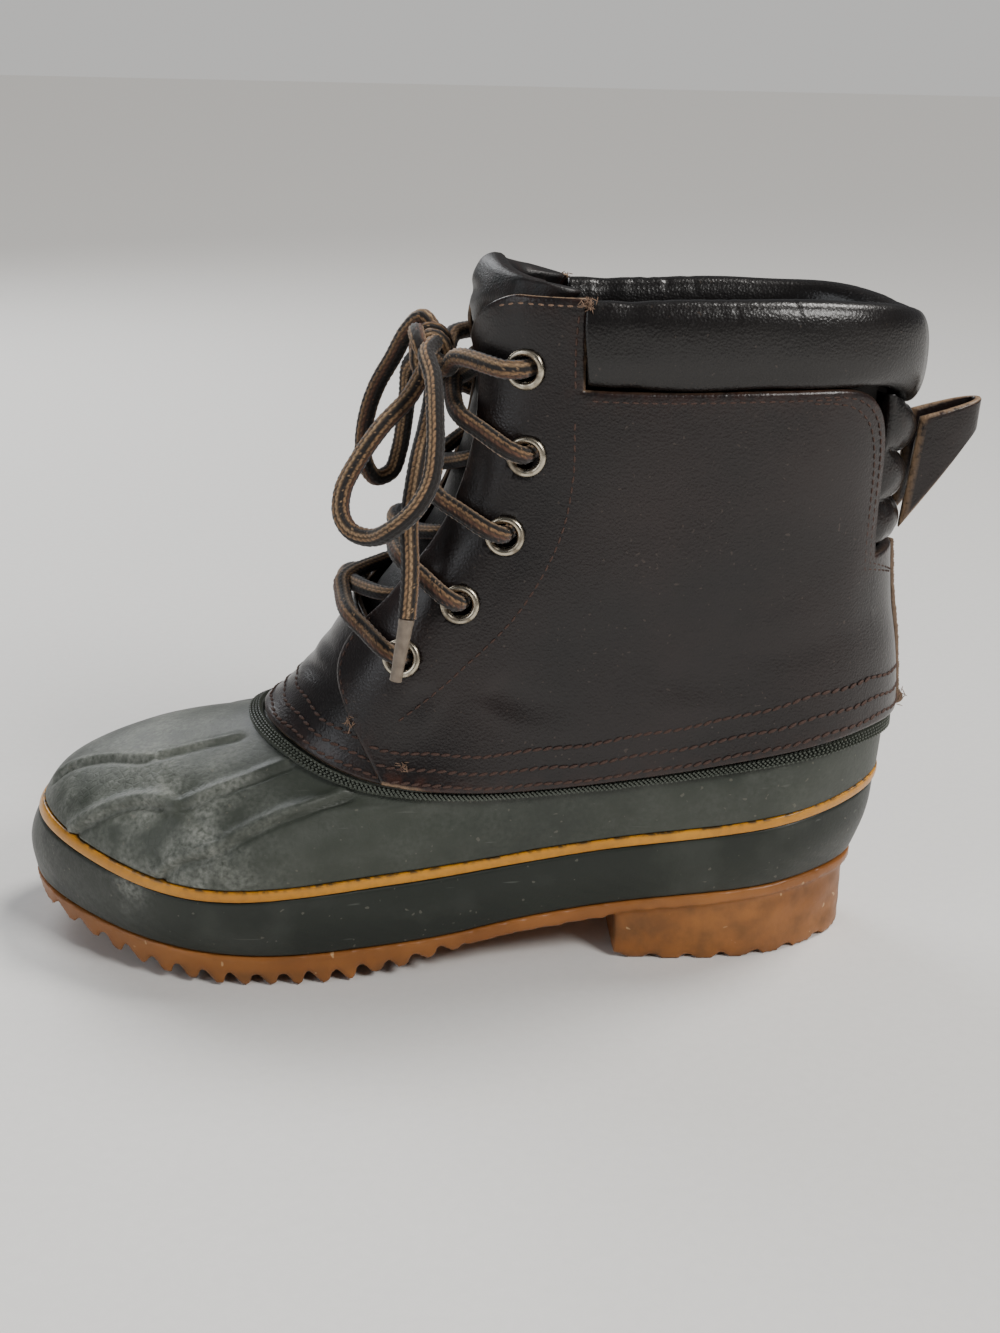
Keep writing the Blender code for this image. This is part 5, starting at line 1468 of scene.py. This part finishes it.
def makeInsole():
    inset = walls["foxing"] + walls["rubber"] + 3.2 * walls["clear"]
    turns = np.linspace(0.004, 0.996, insole["steps"])
    shares = np.linspace(0, 1, insole["across"])
    rows = []
    for turn in turns:
        ends = []
        for side in (1, -1):
            point = loopPoints(0, np.array([side * turn]))[0]
            normal = surfaceNormal(side * turn, 0.02)[0]
            normal[2] = 0
            ends.append(point - normal / np.linalg.norm(normal) * inset)
        rows.append([ends[0] + (ends[1] - ends[0]) * c for c in shares])
    grid = np.array(rows)
    grid[..., 2] = soleTop(grid[..., 0])
    width = np.linalg.norm(grid[:, 0] - grid[:, -1], axis=1)[:, None]
    edge = np.minimum(shares, shares[::-1])[None] * width
    cup = insole["cup"] * np.exp(-edge / insole["cupWidth"])
    top, low = grid.copy(), grid.copy()
    top[..., 2] += insole["top"] + cup * 0.2 - insole["wornEdge"] * np.exp(-edge / (1 * mm))
    low[..., 2] += insole["low"]
    steps, across = grid.shape[:2]
    count = steps * across
    faces = []
    for i in range(steps - 1):
        for k in range(across - 1):
            a = i * across + k
            faces.append((a, a + 1, a + across + 1, a + across))
            faces.append((count + a, count + a + across, count + a + across + 1, count + a + 1))
    for a, b in gridRim(steps, across):
        faces.append((b, a, count + a, count + b))
    points = np.concatenate([top.reshape(-1, 3), low.reshape(-1, 3)])
    piece = makeObject("feltInsole", points, faces, insoleFelt)
    faceOutward(piece.data)
    dress(piece, "felt", "insole")


makeTongue()
makeLining()
makeCollar()
makeBackRolls()
makeBackSeam()
makePullLoop()
makeInsole()


print("eyelets")


def makeEyelet(k, name):
    bore, wall, outer = eyelet["bore"], eyelet["wall"], eyelet["outer"]
    foot = walls["clear"] - seat
    profile = [(bore, foot), (bore, 0.55 * mm)]
    for angle in np.linspace(0, 1, 9):
        a = math.pi * (1 - angle)
        middle, wide = (bore + outer) / 2, (outer - bore) / 2
        profile.append((middle + wide * math.cos(a), 0.35 * mm + eyelet["rise"] * math.sin(a) ** 0.8))
    profile += [(outer, 0.10 * mm), (bore + wall + 0.2 * mm, 0.06 * mm), (bore + wall, foot)]
    sides = eyelet["sides"]
    rng = np.random.default_rng(100 + k)
    dent, at = rng.uniform(0.0, 0.12) * mm, rng.uniform(0, 6.28)
    points = []
    for i in range(sides):
        a = 2 * math.pi * i / sides
        push = dent * math.cos(a - at) * 0.8
        for r, h in profile:
            points.append(((r + push * (r > bore + wall)) * math.cos(a), r * math.sin(a), h))
    size = len(profile)
    faces = []
    for i in range(sides):
        for j in range(size):
            a, b = i * size + j, i * size + (j + 1) % size
            after = (i + 1) % sides * size
            faces.append((a, b, after + (j + 1) % size, after + j))
    turned = Vector(eyeletNormal[k]).to_track_quat("Z", "X").to_matrix().to_4x4()
    piece = makeObject(name, points, faces, eyeletMetal)
    piece.data.transform(Matrix.Translation(eyeletCentre[k]) @ turned)
    faceOutward(piece.data)
    return piece


for k in range(10):
    label = ("lateral", "medial")[k // 5]
    dress(makeEyelet(k, f"eyelet{label.title()}{k % 5 + 1}"), "eyelet_metal", f"eyelet_{label}_{k % 5 + 1}")


print("laces")
lace = dict(radius=2.7 * mm, overEdge=10 * mm, overTongue=1.8 * mm, overVamp=5.4 * mm, aglet=2.3 * mm,
            step=0.42 * mm, sides=36, carriers=12, rise=2.1 * mm)
# one colour for each column of stitches round the lace
yarnColours = ((0.006, 0.0055, 0.006), (0.36, 0.215, 0.105), (0.40, 0.25, 0.13), (0.006, 0.0055, 0.006),
               (0.010, 0.008, 0.008), (0.13, 0.055, 0.030), (0.30, 0.17, 0.08), (0.006, 0.0055, 0.006),
               (0.42, 0.27, 0.145), (0.34, 0.20, 0.10), (0.006, 0.0055, 0.006), (0.012, 0.009, 0.009))


def framesAlong(path):
    way = np.gradient(path, axis=0)
    way /= np.linalg.norm(way, axis=1)[:, None]
    side = np.cross(way[0], (0.0, 0.0, 1.0))
    if np.linalg.norm(side) < 0.2:
        side = np.cross(way[0], (0.0, 1.0, 0.0))
    sides = []
    for step in way:
        side = side - step * (side @ step)
        side = side / np.linalg.norm(side)
        sides.append(side)
    sides = np.array(sides)
    return sides, np.cross(way, sides)


# braided round lace swept along a path; squeeze gives a share of the radius at each point
def braid(name, path, radius=None, squeeze=None, tips=(0.0, 0.0), twist=0.0):
    radius = radius or lace["radius"]
    run = runAlong(path)
    count = int(run[-1] / lace["step"]) + 1
    at = np.linspace(0, run[-1], count)
    line = np.stack([np.interp(at, run, path[:, k]) for k in range(3)], -1)
    fat = np.ones(count) if squeeze is None else np.interp(at, run, squeeze)
    for end, share in ((at, tips[0]), (run[-1] - at, tips[1])):
        if share > 0:
            fat = fat * np.sqrt(np.clip(1 - (1 - np.clip(end / share, 0, 1)) ** 2, 0.02, 1))
    across, up = framesAlong(line)
    sides = lace["sides"]
    angle = np.arange(sides) / sides
    column = angle[None] * lace["carriers"] + twist
    which = np.floor(column).astype(int)
    across1 = 2 * (column - which) - 1
    # stitches slant one way in one column and the other way in the next
    slant = np.where(which % 2 == 0, 1, -1)
    stitch = at[:, None] / lace["rise"] + 0.5 * slant * across1 + 0.5 * (which % 2)
    along1 = 2 * (stitch - np.floor(stitch)) - 1
    bulge = (1 - np.abs(across1) ** 2.2) * (1 - 0.95 * np.abs(along1) ** 2.0)
    rng = np.random.default_rng(int(abs(path[0]).sum() * 1e5) % 9973)
    rough = rng.normal(0, 0.03 * mm, (count, sides))
    size = radius * fat[:, None] * (0.86 + 0.155 * bulge) + rough
    ring = 2 * math.pi * angle[None]
    points = (line[:, None] + across[:, None] * (np.cos(ring) * size)[..., None]
              + up[:, None] * (np.sin(ring) * size)[..., None])
    colours = np.array(yarnColours)
    paint = colours[which % lace["carriers"]] * np.ones((count, 1, 1))
    fleck = rng.random((count, sides, 1)) < 0.06
    paint = np.where(fleck, colours[(which + 1) % lace["carriers"]] * np.ones((count, 1, 1)), paint)
    # painted shade: each stitch's colour falls to near black towards the gaps between stitches and is
    # lightest on its bulge; the random factor is tone that differs from stitch to stitch
    paint = paint * (0.14 + 1.05 * bulge)[..., None] * rng.uniform(0.75, 1.2, (count, sides, 1))
    return makeObject(name, points.reshape(-1, 3), tubeFaces(count, sides), laceYarn,
                      {"yarnWithShade": paint.reshape(-1, 3).clip(0, 1)})


def joined(name, pieces):
    shape = bmesh.new()
    for piece in pieces:
        shape.from_mesh(piece.data)
    mesh = bpy.data.meshes.new(name)
    shape.to_mesh(mesh)
    shape.free()
    mesh.materials.append(pieces[0].data.materials[0])
    for piece in pieces:
        bpy.data.objects.remove(piece)
    return stageObject(name, mesh)


def laceStrand(row, side):
    # out of the lower eyelet, over its flap, across the tongue and under the other flap
    low = row + 1 + (0 if side == 1 else 5)
    high = row + (5 if side == 1 else 0)
    climb = eyeletLevel[low - 1] - eyeletLevel[low]
    over, under = eyeletLevel[low] + 0.25 * climb, eyeletLevel[low] + 0.75 * climb
    middle = lace["overVamp"] if row == 3 else lace["overTongue"]
    flap = float(edgeAt(over, side))
    far = float(edgeAt(under, -side))
    centre, normal = eyeletCentre[low], eyeletNormal[low]
    toEdge = offSurface(flap, over, np.array([lace["overEdge"] - 1.4 * mm]))[0]
    lean = toEdge - centre
    lean -= normal * (lean @ normal)
    lean /= np.linalg.norm(lean)
    route = [centre - normal * 6.0 * mm, centre - normal * 2.0 * mm + lean * 0.25 * mm,
             centre + normal * 1.6 * mm + lean * 1.3 * mm,
             centre + normal * 3.9 * mm + lean * 4.8 * mm]
    route.append(centre + (toEdge - centre) * 0.66 + normal * 2.4 * mm)
    route.append(toEdge)
    route.append(offSurface(0.45 * flap, eyeletLevel[low] + 0.37 * climb,
                            np.array([0.5 * (middle + lace["overEdge"]) - 1.0 * mm]))[0])
    route.append(offSurface(side * 0.0055, eyeletLevel[low] + 0.5 * climb,
                            np.array([middle + side * 1.3 * mm]))[0])
    route.append(offSurface(0.8 * far, under, np.array([0.2 * mm if row < 3 else 1.2 * mm]))[0])
    route.append(offSurface(1.12 * far, eyeletLevel[low] + 0.9 * climb, np.array([-0.9 * mm]))[0])
    route.append(eyeletCentre[high] - eyeletNormal[high] * 6.6 * mm)
    squeeze = [0.9, 0.9, 0.97, 1, 1, 1, 1, 1, 0.85, 0.62, 0.62]
    route = np.array(route)
    path = smoothRoute(route, 260)
    nearest = [np.linalg.norm(path - point, axis=1).argmin() for point in route]
    return path, np.interp(np.arange(260), nearest, squeeze)


def makeCrossings():
    for row in range(4):
        pieces = []
        for side in (1, -1):
            path, squeeze = laceStrand(row, side)
            pieces.append(braid(f"strand{row}{side}", path, squeeze=squeeze, twist=0.35 * row))
        dress(joined(f"laceCrossing{row + 1}", pieces), "lace_cord", f"lace_cross_{row + 1}")


knotCentre = (98.2, 2, 185)


def makeTopStrands():
    # from the top eyelets to the knot
    pieces = []
    knot = np.array(knotCentre) * mm
    for side, k in ((1, 0), (-1, 5)):
        centre, normal = eyeletCentre[k], eyeletNormal[k]
        flap = offSurface(float(edgeAt(eyeletLevel[k], side)), eyeletLevel[k], np.array([8.7 * mm]))[0]
        lean = flap - centre
        lean -= normal * (lean @ normal)
        lean /= np.linalg.norm(lean)
        route = [centre - normal * 6 * mm, centre - normal * 2 * mm + lean * 0.25 * mm,
                 centre + normal * 1.6 * mm + lean * 1.3 * mm, centre + normal * 3.9 * mm + lean * 4.8 * mm,
                 flap, knot + np.array((-4.0, 11.5 * side, -2.0)) * mm,
                 knot + np.array((-1.0, 4.5 * side, -1.0)) * mm]
        pieces.append(braid(f"topStrand{side}", smoothRoute(np.array(route), 200), twist=1.1))
    dress(joined("laceTopStrands", pieces), "lace_cord", "lace_bar")


bow = dict(
    loopNear=((100, 7, 182), (105, 11.5, 174), (112.7, 16.5, 166.5), (119.6, 19, 157), (123.9, 22, 149),
              (124.4, 25, 142.4), (121.5, 29, 138.5), (115.5, 34, 138), (109.5, 41, 142.5),
              (103, 43, 149), (99, 40.5, 156), (97.7, 37, 164.5), (97.7, 31, 173),
              (98.2, 22, 181.5), (100, 13, 187), (97, 4, 189)),
    loopFar=((97, -1, 190), (101, -4, 194.6), (105.6, -7, 190), (109.7, -10, 182), (114.6, -12, 173),
             (117.4, -13, 165), (118.9, -14, 156), (118.4, -15.5, 148), (115, -19.5, 142.5),
             (110.3, -22.5, 144), (107.9, -22, 151), (106.5, -18, 160), (105.5, -11.5, 171),
             (104.8, -6, 180), (101.5, 0, 185)),
    endNear=((97.5, 1, 178), (98.5, 7, 171.5), (100, 14, 165.5), (102, 20.5, 159), (103.5, 26.5, 152),
             (104.5, 31, 146), (104.8, 35, 139.5), (104.5, 38.5, 132), (104.7, 41.5, 125),
             (105.4, 43.6, 117)),
    endFar=((96.5, -4, 178.5), (97, -12.5, 172), (97, -22, 165), (96.5, -32, 156), (97.5, -39.5, 147),
            (97.5, -44, 138), (98.5, -46.5, 128), (99.5, -48, 119), (100.5, -49, 112)),
    agletNear=((105.5, 43.8, 116.5), (108.6, 46.2, 99)), agletFar=((100.7, -49.1, 111.4), (102.5, -50, 94)),
)


def makeKnot():
    # two turns of lace round the bundle and one across it
    centre = np.array(knotCentre)
    pieces = []
    turns = (((0.3, -3.2, 0.8), 0.35, 4.3, 6.0), ((0.2, 2.6, -0.6), -0.30, 4.2, 5.9))
    for k, (shift, tilt, wide, tall) in enumerate(turns):
        a = np.linspace(0, 2 * math.pi * 1.06, 90)
        across = 2.6 * tilt * np.sin(a) + 0.9 * (a / 6.28 - 0.5)
        loop = np.stack([wide * np.cos(a), across, tall * np.sin(a)], -1)
        pieces.append(braid(f"knotTurn{k}", (loop + centre + shift) * mm, radius=2.45 * mm, twist=0.4 * k))
    a = np.linspace(-0.2, 1.15, 50) * math.pi
    over = np.stack([3.2 + 1.6 * np.sin(a), 7.4 * np.cos(a), 2.5 + 4.0 * np.sin(a)], -1)
    pieces.append(braid("knotTop", (over + centre) * mm, radius=2.5 * mm, tips=(1.2 * mm, 1.2 * mm)))
    a = np.linspace(-1.1, 0.2, 50) * math.pi
    under = np.stack([1.0 + 1.0 * np.cos(a), 7.6 * np.cos(a), -3.2 + 3.2 * np.sin(a)], -1)
    pieces.append(braid("knotUnder", (under + centre) * mm, radius=2.5 * mm, tips=(1.2 * mm, 1.2 * mm)))
    return dress(joined("bowKnot", pieces), "lace_cord", "lace_knot")


def makeAglet(name, ends):
    a, b = np.array(ends) * mm
    length = np.linalg.norm(b - a)
    way = (b - a) / length
    side = np.cross(way, (0, 0, 1.0))
    side /= np.linalg.norm(side)
    up = np.cross(way, side)
    sides, rows = 32, []
    profile = ((-0.02, 0.97), (0.0, 1.0), (0.04, 1.0), (0.10, 0.93), (0.5, 0.86), (0.85, 0.80), (0.95, 0.84),
               (0.985, 0.90), (1.0, 0.82), (1.0, 0.62), (0.975, 0.60))
    for s, r in profile:
        a2 = np.arange(sides) / sides * 2 * math.pi
        crush = 1 - 0.16 * ease((s - 0.6) / 0.4)
        ripple = 1 + 0.03 * np.sin(5 * a2 + 9 * s) * (s > 0.9)
        rows.append(a + way * length * s + (np.cos(a2) * lace["aglet"] * r * ripple)[:, None] * side
                    + (np.sin(a2) * lace["aglet"] * r * crush)[:, None] * up)
    piece = makeObject(name, np.concatenate(rows), tubeFaces(len(profile), sides), agletTube)
    faceOutward(piece.data)
    return piece


def cordPath(key):
    return smoothRoute(np.array(bow[key], float) * mm, 420)


def makeBow():
    knot = makeKnot()
    for key, node in (("loopNear", "lace_loop_near"), ("loopFar", "lace_loop_far")):
        path = cordPath(key)
        piece = dress(braid(key, path), "lace_cord", node)
    for key, node, tip in (("endNear", "lace_end_near", "agletNear"), ("endFar", "lace_end_far", "agletFar")):
        path = cordPath(key)
        piece = dress(braid(key, path), "lace_cord", node)
        end = dress(makeAglet(tip, bow[tip]), "lace_tip", "aglet_near" if tip == "agletNear" else "aglet_far")


makeCrossings()
makeTopStrands()
makeBow()


print("stitches")


def stitchRow(name, turns, levels, lift, pitch, size, material=darkThread):
    fine = np.linspace(0, 1, 2500)
    knots = np.linspace(0, 1, len(turns))
    turn, level = np.interp(fine, knots, turns), np.interp(fine, knots, levels)
    base = bootSurface(turn, level)
    run = runAlong(base)
    at = np.arange(pitch / 2, run[-1], pitch)
    share = np.interp(at, run, fine)
    turn, level = np.interp(share, fine, turn), np.interp(share, fine, level)
    points = offSurface(turn, level, np.full(len(turn), lift))
    rows = np.interp(fine, knots, turns), np.interp(fine, knots, levels)
    ahead, behind = (bootSurface(*(np.interp(share + shift, fine, row) for row in rows))
                     for shift in (0.002, -0.002))
    along = ahead - behind
    along /= np.linalg.norm(along, axis=1)[:, None]
    up = surfaceNormal(turn, level)
    rng = np.random.default_rng(len(name) + len(turns))
    along = along + np.cross(up, along) * rng.normal(0, 0.06, len(turn))[:, None]
    dress(repeat(name, stitchTree, points, along, up, size, material), "brown_leather")


bandRows = dict(turns=(0.0, 0.018, 0.152, 0.222, 0.288, 0.36, 0.444, 0.532, 0.626, 0.734, 0.848, 0.975),
                top=(5.43, 5.43, 5.37, 5.39, 5.47, 5.55, 5.69, 5.75, 5.77, 5.81, 5.73, 5.66))


def makeBandStitches():
    fine = np.linspace(0, 0.975, 240)
    tops = np.interp(fine, bandRows["turns"], bandRows["top"])
    low = levelAlong(fine, rimLevel, 2.2 * mm)
    for k, share in enumerate((0.06, 0.52, 1.0)):
        level = low + (tops - low) * share + 0.015 * np.sin(fine * 60 + k)
        for side in (1, -1):
            edge = np.abs(edgeAt(level, side)) + 0.012
            lift = np.where(fine < edge, seat - walls["quarter"], seat) + 0.12 * mm
            stitchPair(f"bandStitch{k}{'Outer' if side == 1 else 'Inner'}", side * fine, level, lift)


# the rope-like rows along the bottom edge
def stitchPair(name, turns, levels, lift):
    fine = np.linspace(0, 1, 4000)
    knots = np.linspace(0, 1, len(turns))
    turn, level, height = (np.interp(fine, knots, v) for v in (turns, levels, lift))
    base = bootSurface(turn, level)
    run = runAlong(base)
    pitch = 3.0 * mm
    at = np.arange(pitch / 2, run[-1], pitch)
    turn, level, height = (np.interp(at, run, v) for v in (turn, level, height))
    ahead = bootSurface(np.interp(at + 1 * mm, run, np.interp(fine, knots, turns)),
                        np.interp(at + 1 * mm, run, np.interp(fine, knots, levels)))
    points = offSurface(turn, level, height)
    up = surfaceNormal(turn, level)
    along = ahead - bootSurface(turn, level)
    along /= np.linalg.norm(along, axis=1)[:, None]
    rng = np.random.default_rng(len(turns) + int(1000 * abs(levels[0])))
    # each stitch leans, so that the row looks like a rope
    lean = 0.22 * np.sign(turns[-1]) + rng.normal(0, 0.07, len(turn))
    along = along + np.cross(up, along) * lean[:, None]
    piece = repeat(name, stitchTree, points, along, up, (3.1 * mm, 1.0 * mm, 0.8 * mm), darkThread)
    dress(piece, "brown_leather")


seams = dict(wide=(2.3 * mm, 0.65 * mm, 0.55 * mm), block=(2.3 * mm, 0.7 * mm, 0.55 * mm),
             top=(2.0 * mm, 0.7 * mm, 0.55 * mm), edge=(2.1 * mm, 0.75 * mm, 0.6 * mm),
             fine=(2.0 * mm, 0.6 * mm, 0.5 * mm), proud=0.05 * mm)


def makeUpperStitches():
    # down beside the collar and round the foot of the eyestay, on both sides
    line = np.array(((58.3, 172.6), (58.5, 155.4), (62, 137.7), (73, 116.5), (90, 98), (108, 82))) * mm
    route = smoothRoute(line, 60)
    for side in (1, -1):
        turn, level = placesAt(route[:, 0], route[:, 1], np.full(60, side))
        label = "Outer" if side == 1 else "Inner"
        face = seat + seams["proud"]
        stitchRow(f"eyestaySeam{label}", turn, level, face, 3.0 * mm, seams["wide"])
        levels = np.linspace(9.0, 9.78, 30)
        first = edgeAt(levels, side)
        last = collarFrontAt(levels, side)
        stitchRow(f"blockSeam{label}", first + (last - first) * 0.93, levels, face, 3.0 * mm, seams["block"])
        share = np.linspace(0.16, 0.95, 30)
        level = np.full(30, 9.90) - 0.10 * (1 - ease(share / 0.4))
        first, last = edgeAt(level, side), collarFrontAt(level, side)
        stitchRow(f"blockTop{label}", first + (last - first) * share, level, seat - 0.1 * mm, 2.6 * mm,
                  seams["top"], material=paleThread)
        levels = np.linspace(5.62, 6.75, 40)
        edge = edgeAt(levels, side)
        stitchRow(f"edgeSeam{label}", edge + side * 0.012, levels, seat, 2.8 * mm, seams["edge"])
        # two rows down the quarter's back edge, and one under the collar
        share = np.linspace(0, 1, 60)
        for k, gap in enumerate((0.012, 0.026)):
            away = form["notchFrom"] + (form["notchTo"] - form["notchFrom"]) * share - gap
            top = quarterTop(away + gap) - 0.05 - 0.045 * k
            turns = np.concatenate([away, np.linspace(away[-1], 0.955 - gap, 12)[1:]])
            levels = np.concatenate([top, np.linspace(top[-1], 7.30, 12)[1:]])
            stitchRow(f"backRow{k}{label}", side * turns, levels, face, 2.7 * mm, seams["fine"])
        start = abs(float(collarFrontAt(9.0, side))) + 0.01
        turns = np.linspace(start, form["notchFrom"] + 0.02, 50)
        stitchRow(f"collarSeam{label}", side * turns, np.full(50, 8.93), face, 2.7 * mm, seams["fine"])


def makeThreads():
    # frayed tufts where a seam ends: place (turn, level), count, spread
    rng = np.random.default_rng(404)
    tufts = ((float(collarFrontAt(9.9, 1)), 9.93, 60, 1.7 * mm),
             (float(collarFrontAt(9.9, -1)), 9.92, 44, 1.6 * mm),
             (float(edgeAt(5.50, 1)), 5.50, 16, 1.6 * mm), (0.286, 5.30, 22, 2.0 * mm),
             (0.985, 5.12, 40, 2.4 * mm), (1.0, 7.45, 18, 1.6 * mm))
    points, along, up = [], [], []
    for turn, level, count, spread in tufts:
        centre = offSurface(turn, level, np.array([seat + 0.4 * mm]))[0]
        normal = surfaceNormal(turn, level)[0]
        for _ in range(count):
            points.append(centre + rng.normal(0, 0.45, 3) * spread)
            along.append(rng.normal(0, 1, 3) + 0.5 * normal)
            up.append(rng.normal(0, 1, 3))
    piece = repeat("looseThreads", stitchTree, np.array(points), np.array(along), np.array(up),
                   (2.6 * mm, 0.28 * mm, 0.28 * mm), paleThread)
    dress(piece, "brown_leather")


makeBandStitches()
makeUpperStitches()
makeThreads()


print("floor and lights")
ground = plate("floor", [(-9, -9), (9, -9), (9, 9), (-9, 9)], 0.01)
ground.data.transform(Matrix.Translation((0, 0, -0.0052)))
pale = makePlain("paleFloor", (0.74, 0.73, 0.71), (0.80, 0.79, 0.77), 0.7, 300, 0.02 * mm)
ground.data.materials.append(pale)
world = bpy.data.worlds.new("studio")
bpy.context.scene.world = world
world.use_nodes = True
air = world.node_tree
seen = air.nodes.new("ShaderNodeBackground")
seen.inputs["Color"].default_value = (0.80, 0.79, 0.77, 1)
seen.inputs["Strength"].default_value = 0.75
air.nodes["Background"].inputs["Color"].default_value = (0.92, 0.95, 1.0, 1)
air.nodes["Background"].inputs["Strength"].default_value = 0.11
rays, both = air.nodes.new("ShaderNodeLightPath"), air.nodes.new("ShaderNodeMixShader")
air.links.new(rays.outputs["Is Camera Ray"], both.inputs[0])
air.links.new(air.nodes["Background"].outputs[0], both.inputs[1])
air.links.new(seen.outputs[0], both.inputs[2])
air.links.new(both.outputs[0], air.nodes["World Output"].inputs["Surface"])
lamps = (
    ("frontLight", (-0.75, 0.85, 1.05), 0.45, 17, (1.0, 0.98, 0.95)),
    ("fillLight", (1.15, 0.75, 0.65), 0.8, 5, (0.93, 0.96, 1.0)),
    ("farLight", (0.75, -1.0, 0.9), 0.8, 11, (0.96, 0.98, 1.0)),
)
for name, place, size, power, tint in lamps:
    lamp = bpy.data.lights.new(name, "AREA")
    lamp.size = size
    lamp.energy = power
    lamp.color = tint
    obj = stageObject(name, lamp)
    way = Vector((0.08, 0, 0.09)) - Vector(place)
    obj.matrix_world = Matrix.Translation(place) @ way.to_track_quat("-Z", "Y").to_matrix().to_4x4()

sun = bpy.data.lights.new("skylight", "SUN")
sun.energy = 2.3
sun.angle = 0.32
sun.color = (1.0, 0.97, 0.93)
stageObject("skylight", sun).rotation_euler = Vector((-0.50, -0.22, 1.0)).to_track_quat("Z", "Y").to_euler()
